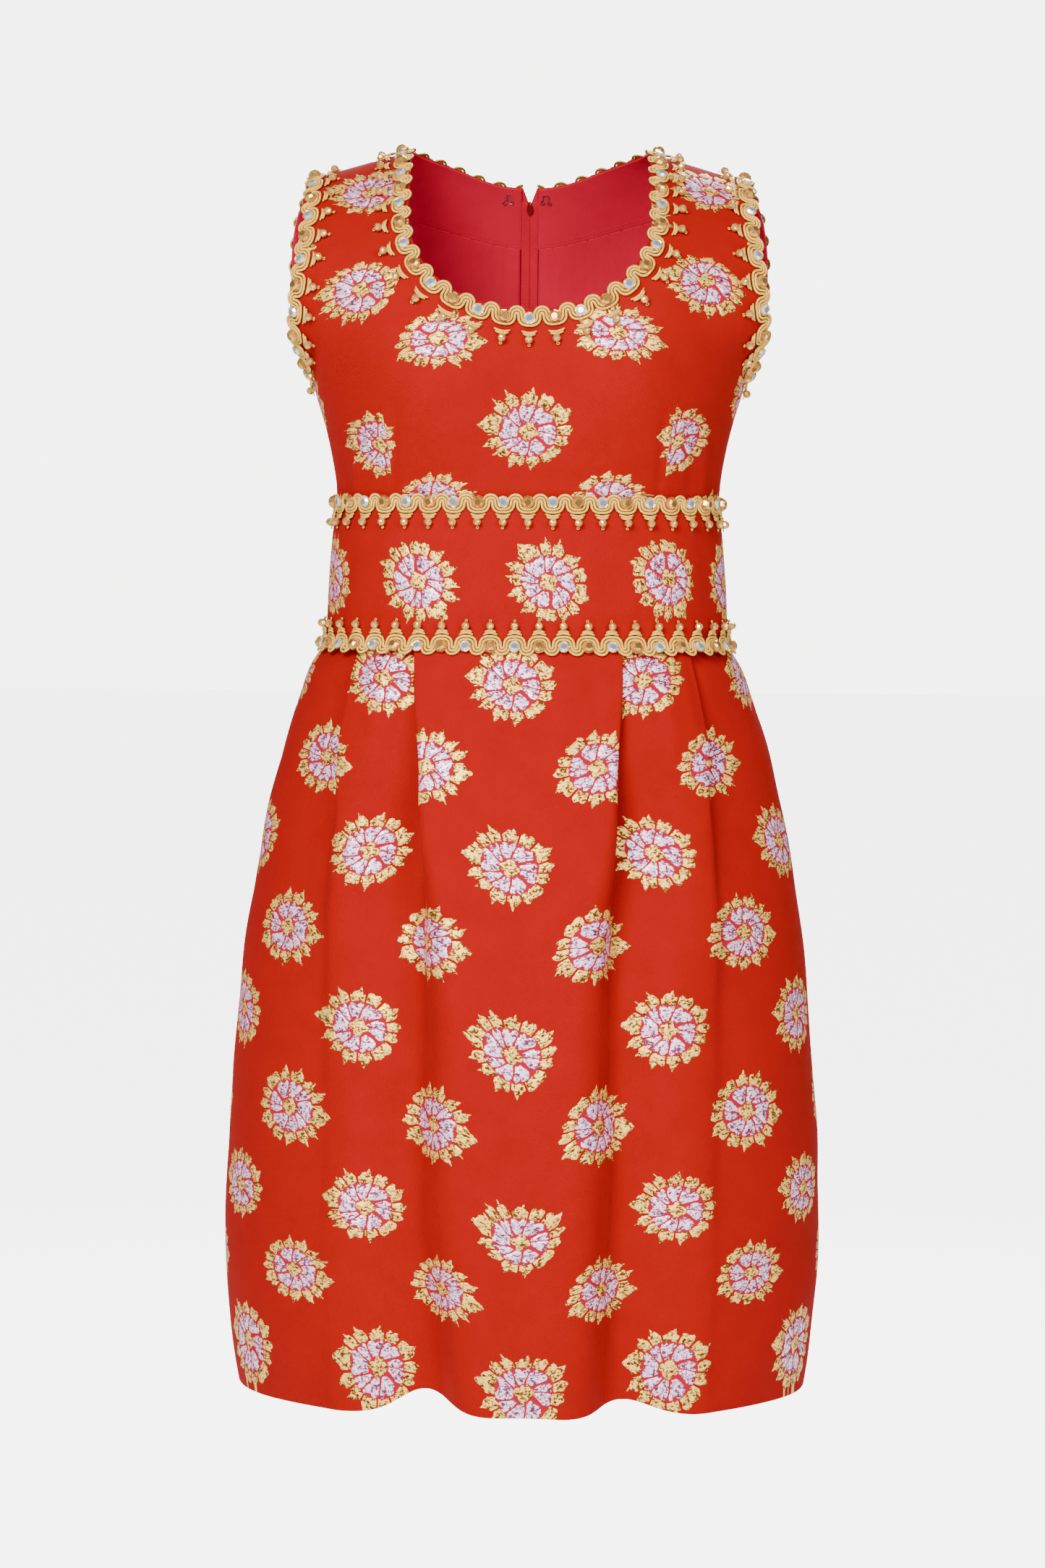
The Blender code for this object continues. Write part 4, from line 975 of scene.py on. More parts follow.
@dataclass
class ClothPiece:
    """A thin shell of cloth over a panel.

    The inside may have its own finish, and a hem deep enough to be seen is turned up in the outer cloth.
    """

    name: str
    panel: Panel
    outside: bpy.types.Material
    inside: bpy.types.Material
    inset: float = 0.0
    thickness: float = 0.0011
    rims: dict[str, Rim] = field(default_factory=dict)
    turned_rows: int = 0

    def build(self) -> bpy.types.Object:
        """The shell as one mesh with its cloth map."""
        outer = self.panel.points - self.panel.normals * self.inset
        inner = outer - self.panel.normals * self.thickness
        if self.turned_rows:
            fade = np.linspace(1, 0.3, self.turned_rows)[:, None, None]
            inner[: self.turned_rows] -= self.panel.normals[: self.turned_rows] * 0.0006 * fade
        rows, columns = outer.shape[:2]
        vertices = [outer.reshape(-1, 3), inner.reshape(-1, 3)]
        flats = [self.panel.flat.reshape(-1, 2)] * 2
        count = rows * columns
        index = np.arange(count).reshape(rows, columns)
        quads = [
            np.stack([index[:-1, :-1], index[:-1, 1:], index[1:, 1:], index[1:, :-1]], -1).reshape(-1, 4)
        ]
        quads.append(quads[0][:, ::-1] + count)
        lining = np.zeros((rows - 1, columns - 1), int)
        lining[self.turned_rows :] = 1
        finish = [np.zeros(len(quads[0]), int), lining.ravel()]
        total = 2 * count
        edges = {
            "bottom": index[0],
            "right": index[:, -1],
            "top": index[-1, ::-1],
            "left": index[::-1, 0],
        }
        for key, line in edges.items():
            loops = [line + count]
            if self.rims.get(key, Rim.SEAM) is Rim.FOLD:
                middle = (outer.reshape(-1, 3)[line] + inner.reshape(-1, 3)[line]) / 2
                half = (outer.reshape(-1, 3)[line] - inner.reshape(-1, 3)[line]) / 2
                beyond = self.beyond(key, outer)
                for turn in (-45, 0, 45):
                    way = math.radians(turn)
                    size = np.linalg.norm(half, axis=1, keepdims=True)
                    vertices.append(middle + half * math.sin(way) + beyond * size * math.cos(way))
                    flats.append(self.panel.flat.reshape(-1, 2)[line])
                    loops.append(np.arange(total, total + len(line)))
                    total += len(line)
            loops.append(line)
            for low, high in zip(loops, loops[1:]):
                quads.append(np.stack([low[:-1], low[1:], high[1:], high[:-1]], -1))
                finish.append(np.zeros(len(line) - 1, int))
        return self.mesh(
            np.concatenate(vertices), np.concatenate(quads), np.concatenate(flats), np.concatenate(finish)
        )

    @staticmethod
    def beyond(key: str, outer: np.ndarray) -> np.ndarray:
        """The way out of the cloth in its own plane, along one edge."""
        pairs = {
            "bottom": (outer[0], outer[1]),
            "right": (outer[:, -1], outer[:, -2]),
            "top": (outer[-1, ::-1], outer[-2, ::-1]),
            "left": (outer[::-1, 0], outer[::-1, 1]),
        }
        edge, within = pairs[key]
        return unit(edge - within)

    def mesh(
        self, vertices: np.ndarray, quads: np.ndarray, flat: np.ndarray, finish: np.ndarray
    ) -> bpy.types.Object:
        """Makes the object, turned so that its faces point out."""
        a, b, c = (vertices[quads[0, k]] for k in (0, 1, 3))
        if np.cross(b - a, c - a) @ self.panel.normals[0, 0] < 0:
            quads = quads[:, ::-1]
        return mesh_object(self.name, vertices, quads, flat, finish, (self.outside, self.inside))


def mesh_object(
    name: str,
    vertices: np.ndarray,
    faces: np.ndarray,
    flat: np.ndarray,
    finish: np.ndarray | None,
    materials: tuple[bpy.types.Material, ...],
) -> bpy.types.Object:
    """An object from arrays.

    Args:
        name: the piece's name.
        vertices: its points.
        faces: its faces, all with as many corners.
        flat: each point's place on the cloth map.
        finish: each face's material, or None for the first.
        materials: the materials.

    Returns:
        The linked object.
    """
    mesh = bpy.data.meshes.new(name)
    mesh.from_pydata(vertices.tolist(), [], faces.tolist())
    layer = mesh.uv_layers.new(name="cloth")
    layer.data.foreach_set("uv", flat[faces.ravel()].astype(np.float32).ravel())
    for item in materials:
        mesh.materials.append(item)
    if finish is not None:
        mesh.polygons.foreach_set("material_index", finish.astype(np.int32))
    mesh.polygons.foreach_set("use_smooth", np.ones(len(faces), bool))
    mesh.update()
    made = bpy.data.objects.new(name, mesh)
    bpy.context.scene.collection.objects.link(made)
    return made


def walked(points: np.ndarray, axis: int, middle: int) -> np.ndarray:
    """How far along a grid's rows or columns each point lies from the middle one."""
    steps = np.linalg.norm(np.diff(points, axis=axis), axis=-1)
    along = np.cumsum(steps, axis=axis)
    along = np.concatenate([np.zeros_like(np.take(along, [0], axis)), along], axis=axis)
    return along - np.take(along, [middle], axis)


def pinned(flat: np.ndarray, points: np.ndarray, pins: tuple[FlowerPin, ...], reach: float) -> np.ndarray:
    """Slides the cloth map so that the pinned flowers lie where they should.

    Args:
        flat: each point's place on the flat cloth.
        points: the points themselves.
        pins: the flowers and their places.
        reach: how far a pin's pull carries.

    Returns:
        The map, slid.
    """
    if not pins:
        return flat
    seen = points[..., (0, 2)]
    weights = []
    shifts = []
    for pin in pins:
        apart = np.linalg.norm(seen - np.array([pin.x, pin.z]), axis=-1)
        nearest = np.unravel_index(np.argmin(apart), apart.shape)
        shifts.append(np.array(LATTICE.place(pin.column, pin.row)) - flat[nearest])
        weights.append(1 / (apart**2 + (0.12 * reach) ** 2) ** 1.5)
    weights = np.array(weights)
    return flat + np.einsum("kij,kd->ijd", weights, np.array(shifts)) / weights.sum(0)[..., None]


@dataclass(frozen=True)
class Cut:
    """A sheet's declaration: the cut's bounding size, its area and how it is held."""

    width: float
    length: float
    area: float | None
    held: str = "hung"


def dress_sheet(piece: bpy.types.Object, node: str) -> None:
    """Makes a cloth piece stand for its CAD node and logs its cloth area."""
    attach(piece, "dress")
    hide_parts(node)
    area = sum(face.area for face in piece.data.polygons) / 2
    log.info("%s: %d faces, %.4f m2 of cloth", piece.name, len(piece.data.polygons), area)


def stops(*runs: tuple[float, float, int], extra: tuple[float, ...] = ()) -> np.ndarray:
    """Grid places: even runs from start to end with a count each, and single ones besides."""
    places = [np.linspace(start, end, count) for start, end, count in runs]
    merged = np.unique(np.round(np.concatenate([*places, np.array(extra, float)]), 6))
    return merged


@dataclass
class Bodice:
    """The bodice's front and back halves, with their darts, seams and creases."""

    neck_straight_z: float = -0.050
    neck_front_z: float = -0.1247
    neck_power: float = 2.15
    shoulder_end: float = 0.164
    underarm_z: float = -0.160
    underarm_share: float = 0.38
    front_shoulder_share: float = 5 / 26
    back_neck_share: float = 7 / 12
    liner_start: float = 0.0070
    facing_share: float = 0.82
    notch_share: float = 0.9645
    dart_share: float = 0.28
    dart_top_z: float = -0.180
    dart_take: float = 0.036
    slider_part: float = 0.0014
    zip_top_z: float = -0.040
    notch_z: float = -0.0300
    notch_half: float = 0.0050
    neck_back_z: float = -0.0215
    front_armhole: tuple[EdgePoint, ...] = (
        EdgePoint(0.1650, -0.160),
        EdgePoint(0.1735, -0.140),
        EdgePoint(0.1735, -0.120),
        EdgePoint(0.1705, -0.090),
        EdgePoint(0.1660, -0.055),
        EdgePoint(0.1640, -0.022),
    )
    back_armhole: tuple[EdgePoint, ...] = (
        EdgePoint(0.1650, -0.160),
        EdgePoint(0.1735, -0.143),
        EdgePoint(0.1770, -0.120),
        EdgePoint(0.1800, -0.085),
        EdgePoint(0.1760, -0.050),
        EdgePoint(0.1640, -0.022),
    )
    back_neck: tuple[EdgePoint, ...] = (
        EdgePoint(0.0880, 0.0000),
        EdgePoint(0.0570, -0.0086),
        EdgePoint(0.0250, -0.0185),
        EdgePoint(0.0000, -0.0215),
    )
    front_pins: tuple[FlowerPin, ...] = (
        FlowerPin(0.000, -0.210, 0, 0),
        FlowerPin(-0.064, -0.145, -1, 0.5),
        FlowerPin(0.064, -0.140, 1, 0.5),
        FlowerPin(-0.069, -0.266, -1, -0.5),
        FlowerPin(0.060, -0.264, 1, -0.5),
        FlowerPin(-0.107, -0.219, -2, 0),
        FlowerPin(0.107, -0.215, 2, 0),
        FlowerPin(-0.122, -0.108, -2, 1),
        FlowerPin(0.128, -0.100, 2, 1),
        FlowerPin(-0.117, -0.036, -2, 2),
        FlowerPin(0.131, -0.032, 2, 2),
        FlowerPin(-0.156, -0.185, -3, 0.5),
        FlowerPin(0.158, -0.177, 3, 0.5),
        FlowerPin(-0.064, -0.124, -1, 0.727),
        FlowerPin(-0.064, -0.166, -1, 0.273),
        FlowerPin(0.064, -0.119, 1, 0.727),
        FlowerPin(0.064, -0.161, 1, 0.273),
        FlowerPin(-0.150, -0.075, -2.35, 1.5),
        FlowerPin(0.152, -0.072, 2.38, 1.5),
    )
    front_creases: tuple[Crease, ...] = (
        Crease(EdgePoint(-0.097, -0.186), EdgePoint(-0.097, -0.262), -0.0012, 0.0030),
        Crease(EdgePoint(0.099, -0.186), EdgePoint(0.094, -0.262), -0.0012, 0.0030),
        Crease(EdgePoint(0.120, -0.205), EdgePoint(0.118, -0.258), -0.0009, 0.0034),
        Crease(EdgePoint(0.130, -0.200), EdgePoint(0.128, -0.260), 0.0010, 0.0032),
        Crease(EdgePoint(0.138, -0.205), EdgePoint(0.135, -0.258), -0.0008, 0.0028),
        Crease(EdgePoint(-0.128, -0.214), EdgePoint(-0.125, -0.258), 0.0008, 0.0034),
        Crease(EdgePoint(-0.136, -0.200), EdgePoint(-0.132, -0.258), -0.0007, 0.0034),
        Crease(EdgePoint(-0.110, -0.150), EdgePoint(-0.160, -0.172), 0.0014, 0.0090),
        Crease(EdgePoint(0.110, -0.150), EdgePoint(0.160, -0.170), 0.0013, 0.0090),
        Crease(EdgePoint(-0.052, -0.190), EdgePoint(0.050, -0.186), -0.0012, 0.0160),
        Crease(EdgePoint(-0.070, -0.236), EdgePoint(-0.040, -0.258), 0.0007, 0.0060),
        Crease(EdgePoint(0.070, -0.236), EdgePoint(0.042, -0.258), 0.0007, 0.0060),
        Crease(EdgePoint(-0.112, -0.070), EdgePoint(-0.128, -0.140), -0.0010, 0.0120),
        Crease(EdgePoint(0.114, -0.070), EdgePoint(0.130, -0.138), -0.0010, 0.0120),
    )
    back_creases: tuple[Crease, ...] = (
        Crease(EdgePoint(0.080, -0.150), EdgePoint(0.074, -0.262), -0.0012, 0.0030),
        Crease(EdgePoint(0.110, -0.175), EdgePoint(0.155, -0.150), 0.0013, 0.0090),
        Crease(EdgePoint(0.120, -0.205), EdgePoint(0.118, -0.258), -0.0008, 0.0036),
        Crease(EdgePoint(0.050, -0.235), EdgePoint(0.010, -0.226), -0.0009, 0.0080),
        Crease(EdgePoint(0.105, -0.060), EdgePoint(0.125, -0.125), -0.0010, 0.0120),
    )

    def through(self, table: tuple[EdgePoint, ...]) -> np.ndarray:
        """A smooth (x, z) line through an edge's table."""
        steps = list(range(len(table)))
        fine = np.linspace(0, len(table) - 1, 400)
        return np.stack([curve_through(steps, column(table, name), fine) for name in ("x", "z")], axis=-1)

    def side_edge(self, armhole: tuple[EdgePoint, ...], side: Side, start_z: float) -> Callable:
        """The outer edge: up the side seam, then round the armhole to the shoulder."""
        heights = np.linspace(start_z, self.underarm_z, 40)
        seam = np.stack([FIGURE.sizes(FIGURE.bodice, heights)[0], heights], axis=-1)
        opening = self.through(armhole)
        angle, z = FIGURE.as_angle(opening).T
        round_opening = evenly(opening, FIGURE.point(FIGURE.bodice, angle, z, side))
        return joined((self.underarm_share, evenly(seam)), (1 - self.underarm_share, round_opening))

    def front_neck(self) -> np.ndarray:
        """Half of the scoop, from the neck point down and in to the centre front."""
        turn = np.linspace(0, np.pi / 2, 200)
        power = 2 / self.neck_power
        depth = self.neck_straight_z - self.neck_front_z
        half = FIGURE.neck_half
        bowl = np.stack(
            [half * np.cos(turn) ** power, self.neck_straight_z - depth * np.sin(turn) ** power], -1
        )
        return np.concatenate([[[half, 0.0]], bowl])

    def shoulder(self) -> np.ndarray:
        """From the shoulder end to the neck point."""
        half = FIGURE.neck_half
        return np.array(
            [[self.shoulder_end, -FIGURE.shoulder_slope * (self.shoulder_end - half)], [half, 0.0]]
        )

    @staticmethod
    def coons(
        bottom: Callable, top: Callable, left: Callable, right: Callable, s: np.ndarray, v: np.ndarray
    ) -> np.ndarray:
        """Fills four edges, given as functions of 0 to 1, with a grid of (angle, z)."""
        low, high = bottom(s)[None], top(s)[None]
        begin, end = left(v)[:, None], right(v)[:, None]
        s, v = s[None, :, None], v[:, None, None]
        corners = (1 - s) * (1 - v) * low[:, :1] + s * (1 - v) * low[:, -1:]
        corners = corners + (1 - s) * v * high[:, :1] + s * v * high[:, -1:]
        return (1 - v) * low + v * high + (1 - s) * begin + s * end - corners

    def front(self) -> Panel:
        """The bodice front with its darts taken out of the cloth map."""
        share, dart = self.front_shoulder_share, self.dart_share
        half = [(share, self.shoulder()), (0.5 - share, self.front_neck())]
        left = [(part, evenly(points * [-1, 1])) for part, points in half]
        right = [(part, evenly(points[::-1])) for part, points in half[::-1]]
        top = joined(*left, *right)
        places = (0, share, dart, 0.5, 1 - dart, 1 - share, 1)
        angles = np.radians((-90, -60, -44, 0, 44, 60, 90))
        bottom_z = FIGURE.empire_z + FIGURE.seam_gap / 2
        edge = self.side_edge(self.front_armhole, Side.FRONT, bottom_z)
        near = 0.0007
        across = stops(
            (0, 1, 131),
            extra=(
                share,
                1 - share,
                0.003,
                0.997,
                0.5,
                *(dart + near * k for k in (-9, -1, 1, 9)),
                *(1 - dart + near * k for k in (-9, -1, 1, 9)),
            ),
        )
        up = stops(
            (0, self.underarm_share, 44), (self.underarm_share, 1, 62), extra=(0.004, 0.01, 0.992, 0.997)
        )
        grid = self.coons(
            lambda s: np.stack([np.interp(s, places, angles), np.full(len(s), bottom_z)], -1),
            lambda s: FIGURE.as_angle(top(s)),
            lambda v: FIGURE.as_angle(edge(v) * [-1, 1]),
            lambda v: FIGURE.as_angle(edge(v)),
            across,
            up,
        )
        grid = self.unfolded(grid, ease((np.minimum(across, 1 - across) - 0.03) / (share - 0.03)))
        panel = self.on_body(grid, Side.FRONT)
        z = panel.points[..., 2]
        taken = self.dart_take * np.clip((self.dart_top_z - z) / (self.dart_top_z - bottom_z), 0, 1)
        outside = np.where(across > 1 - dart, 1, np.where(across < dart, -1, 0))[None]
        panel.flat[..., 0] += taken * outside
        panel.flat = pinned(panel.flat, panel.points, self.front_pins, 0.06)
        return pressed(panel, self.front_creases, soft_waves(0.0007, 0.11, 3))

    @staticmethod
    def unfolded(grid: np.ndarray, share: np.ndarray) -> np.ndarray:
        """Spaces the rows evenly in height where the share is 1, so that none doubles back under the scoop."""
        result = grid.copy()
        rows = np.linspace(0, 1, len(grid))
        for j, part in enumerate(share):
            angle, z = grid[:, j].T
            climbing = np.maximum.accumulate(z + 1e-6 * np.arange(len(z)))
            heights = climbing[0] + (climbing[-1] - climbing[0]) * rows
            even = np.stack([np.interp(heights, climbing, angle), heights], -1)
            result[:, j] = grid[:, j] * (1 - part) + even * part
        return result

    @staticmethod
    def on_body(grid: np.ndarray, side: Side) -> Panel:
        """A panel over an (angle, z) grid, with its cloth map by distance walked."""
        angle, z = grid[..., 0], grid[..., 1]
        points = FIGURE.point(FIGURE.bodice, angle, z, side)
        return Panel(points, FIGURE.normal(FIGURE.bodice, angle, z, side), Bodice.cloth_map(angle, z, side))

    @staticmethod
    def cloth_map(angle: np.ndarray, z: np.ndarray, side: Side) -> np.ndarray:
        """Places on the flat cloth: the way round from the centre, and the way up from the seam."""
        around = np.radians(np.linspace(-90, 90, 241))
        heights = np.linspace(z.min(), z.max(), 200)
        points = FIGURE.point(FIGURE.bodice, *np.meshgrid(around, heights), side)
        flat = np.stack([walked(points, 1, 120), walked(points, 0, 0)], -1)
        i = (z - heights[0]) / (heights[1] - heights[0])
        j = (angle - around[0]) / (around[1] - around[0])
        row, place = np.clip(i.astype(int), 0, 198), np.clip(j.astype(int), 0, 239)
        u, v = (i - row)[..., None], (j - place)[..., None]
        low = flat[row, place] * (1 - v) + flat[row, place + 1] * v
        return low * (1 - u) + (flat[row + 1, place] * (1 - v) + flat[row + 1, place + 1] * v) * u

    def centre_back(self, z: np.ndarray) -> np.ndarray:
        """How far the back's edge stands from the zip's line."""
        at_slider = self.slider_part * ease((z - self.zip_top_z) / 0.003)
        above = np.clip((z - self.notch_z) / (self.neck_back_z - self.notch_z), 0, 1)
        return FIGURE.seam_gap / 2 + 0.0002 + at_slider + (self.notch_half - self.slider_part) * above

    def back(self) -> Panel:
        """The back's right half, from the zip out."""
        bottom_z = FIGURE.empire_z + FIGURE.seam_gap / 2
        neck = self.through(self.back_neck)[::-1]
        neck = neck[neck[:, 0] >= self.liner_start]
        top = joined(
            (self.back_neck_share, evenly(neck)), (1 - self.back_neck_share, evenly(self.shoulder()[::-1]))
        )
        edge = self.side_edge(self.back_armhole, Side.BACK, bottom_z)
        start_x, start_z = neck[0]
        beside_tape = evenly(np.array([[start_x, bottom_z], [start_x, start_z]]))
        start = FIGURE.as_angle(np.array([start_x, bottom_z]))[0]
        up = stops(
            (0, self.underarm_share, 44),
            (self.underarm_share, 1, 62),
            extra=(0.004, 0.01, self.facing_share, self.notch_share, 0.992, 0.997),
        )
        grid = self.coons(
            lambda s: np.stack([start + (np.pi / 2 - start) * s, np.full(len(s), bottom_z)], -1),
            lambda s: FIGURE.as_angle(top(s)),
            lambda v: FIGURE.as_angle(beside_tape(v)),
            lambda v: FIGURE.as_angle(edge(v)),
            stops((0, 1, 64), extra=(self.back_neck_share, 0.994)),
            up,
        )
        heights = grid[:, :1, 1]
        edge_line = self.centre_back(heights)
        begin = start_x + 0 * heights
        first = [
            FIGURE.as_angle(np.stack([edge_line + (begin - edge_line) * t, heights], -1))
            for t in BESIDE_ZIP
        ]
        grid = np.concatenate([*first, grid], axis=1)
        panel = self.on_body(grid, Side.BACK)
        panel.flat = panel.flat + [0.0, -0.035]
        return pressed(panel, self.back_creases, soft_waves(0.0007, 0.11, 5))


@dataclass
class BodicePieces:
    """The bodice's cloth in the scene: three outer panels with the facing and lining behind the back."""

    bodice: Bodice
    finishes: Finishes
    wall: float = 0.0011
    liner_gap: float = 0.0003
    liner_wall: float = 0.0010
    thread_radius: float = 0.00022
    panels: dict[str, Panel] = field(default_factory=dict)

    def build(self) -> None:
        """Builds every panel, then lines the back."""
        open_edges = {"top": Rim.FOLD}
        front = self.bodice.front()
        self.panels["front"] = front
        piece = ClothPiece(
            "bodice_front_cloth", front, self.finishes.brocade, self.finishes.lining, rims=open_edges
        ).build()
        dress_sheet(
            piece,
            "bodice_front",
        )
        half = self.bodice.back()
        for hand in Hand:
            panel = half.mirrored(hand)
            self.panels[f"back_{hand.word}"] = panel
            name = f"bodice_back_{hand.word}"
            piece = ClothPiece(
                f"{name}_cloth",
                panel,
                self.finishes.brocade,
                self.finishes.lining,
                rims={"top": Rim.FOLD, "left": Rim.FOLD},
            ).build()
            dress_sheet(piece, name)
            self.line_back(hand, panel)

    def line_back(self, hand: Hand, panel: Panel) -> None:
        """The facing round the back neck and the pleated lining below it."""
        inset = self.wall + self.liner_gap
        row = int(np.argmin(abs(self.rows() - self.bodice.facing_share)))
        facing = panel.cut(slice(row, None), slice(3, None))
        name = f"facing_back_{hand.word}"
        rims = {"top": Rim.FOLD, "bottom": Rim.FOLD, "left": Rim.FOLD}
        piece = ClothPiece(
            f"{name}_cloth",
            facing,
            self.finishes.lining,
            self.finishes.lining,
            inset,
            self.liner_wall + 0.0002,
            rims,
        ).build()
        dress_sheet(
            piece, name
        )
        lining = panel.cut(slice(0, row + 1), slice(3, None))
        x = lining.points[..., 0] * hand.value
        z = lining.points[..., 2]
        pleats = 0.00028 * (
            np.sin(x * 2 * np.pi / 0.0085 + 3 * np.sin(z * 21)) + 0.6 * np.sin(x * 2 * np.pi / 0.0052 + 1.3)
        )
        points = lining.points - lining.normals * (0.0003 + pleats * ease((z + 0.30) / 0.05))[..., None]
        lining = Panel(points, grid_normals(points, lining.normals), lining.flat)
        name = f"lining_back_{hand.word}"
        piece = ClothPiece(
            f"{name}_cloth", lining, self.finishes.lining, self.finishes.lining, inset, self.liner_wall
        ).build()
        dress_sheet(
            piece,
            name,
        )
        self.stitch_facing(hand, facing, inset)

    def stitch_facing(self, hand: Hand, facing: Panel, inset: float) -> None:
        """A line of stitches just above the facing's turned edge."""
        line = facing.points[1] * 0.35 + facing.points[2] * 0.65
        up = facing.normals[2]
        depth = inset + self.liner_wall + 0.0002
        stitches = Stitches(
            f"facing_stitches_{hand.word}", line - up * depth, -up, self.finishes.thread, self.thread_radius
        )
        stitches.build()

    def rows(self) -> np.ndarray:
        """The shares of the back's rows."""
        bodice = self.bodice
        return stops(
            (0, bodice.underarm_share, 44),
            (bodice.underarm_share, 1, 62),
            extra=(0.004, 0.01, bodice.facing_share, bodice.notch_share, 0.992, 0.997),
        )


@dataclass
class Stitches:
    """A row of short sewn stitches lying on cloth."""

    name: str
    line: np.ndarray
    up: np.ndarray
    thread: bpy.types.Material
    radius: float = 0.0002
    length: float = 0.0021
    pitch: float = 0.0030

    def build(self) -> bpy.types.Object:
        """Every stitch in one mesh."""
        total = np.linalg.norm(np.diff(self.line, axis=0), axis=1).sum()
        walk, rise = evenly(self.line), evenly(self.up, self.line)
        count = max(int(total / self.pitch), 2)
        rings = 5
        parts = []
        for k in range(count):
            at = (k + 0.5 + np.linspace(-0.5, 0.5, rings) * self.length / self.pitch) / count
            places, ups = walk(at), unit(rise(at))
            bulge = np.array([-0.6, 0.5, 0.8, 0.5, -0.6])[:, None] * self.radius
            widths = np.array([0.4, 1.0, 1.1, 1.0, 0.4]) * self.radius
            parts.append(tube(places + ups * bulge, ups, widths, 5))
        vertices, faces, flat = stacked(parts)
        piece = mesh_object(self.name, vertices, faces, flat, None, (self.thread,))
        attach(piece, "dress")
        return piece


def tube(
    points: np.ndarray, ups: np.ndarray, radii: np.ndarray, sides: int, flatness: float = 1.0
) -> tuple:
    """A round cord along points.

    Args:
        points: the middle of the cord.
        ups: the way out of what it lies on.
        radii: its radius at each point.
        sides: how many sides it has.
        flatness: its height as a share of its width.

    Returns:
        Vertices, triangles and places on the cord's own map, its ends closed.
    """
    along = unit(np.gradient(points, axis=0))
    side = unit(np.cross(along, ups))
    out = unit(np.cross(side, along))
    turn = np.linspace(-np.pi / 2, 1.5 * np.pi, sides, endpoint=False)
    ring = side[:, None] * np.cos(turn)[
        None, :, None
    ] + out[:, None] * np.sin(turn)[None, :, None] * flatness
    vertices = (points[:, None] + ring * radii[:, None, None]).reshape(-1, 3)
    count = len(points)
    index = np.arange(count * sides).reshape(count, sides)
    after = np.roll(index, -1, axis=1)
    quads = np.stack([index[:-1], after[:-1], after[1:], index[1:]], -1).reshape(-1, 4)
    faces = np.concatenate([quads[:, (0, 2, 1)], quads[:, (0, 3, 2)]])
    caps = [[0, k, k + 1] for k in range(1, sides - 1)]
    caps += [[index[-1, 0], index[-1, k + 1], index[-1, k]] for k in range(1, sides - 1)]
    faces = np.concatenate([faces, np.array(caps)])
    run = np.concatenate([[0], np.cumsum(np.linalg.norm(np.diff(points, axis=0), axis=1))])
    flat = np.stack([np.repeat(run, sides), np.tile(np.arange(sides) / sides, count)], -1)
    return vertices, faces, flat


def stacked(parts: list[tuple]) -> tuple:
    """Many (vertices, faces, flat) as one."""
    offsets = np.cumsum([0] + [len(part[0]) for part in parts[:-1]])
    faces = np.concatenate([part[1] + offset for part, offset in zip(parts, offsets)])
    return np.concatenate([part[0] for part in parts]), faces, np.concatenate([part[2] for part in parts])


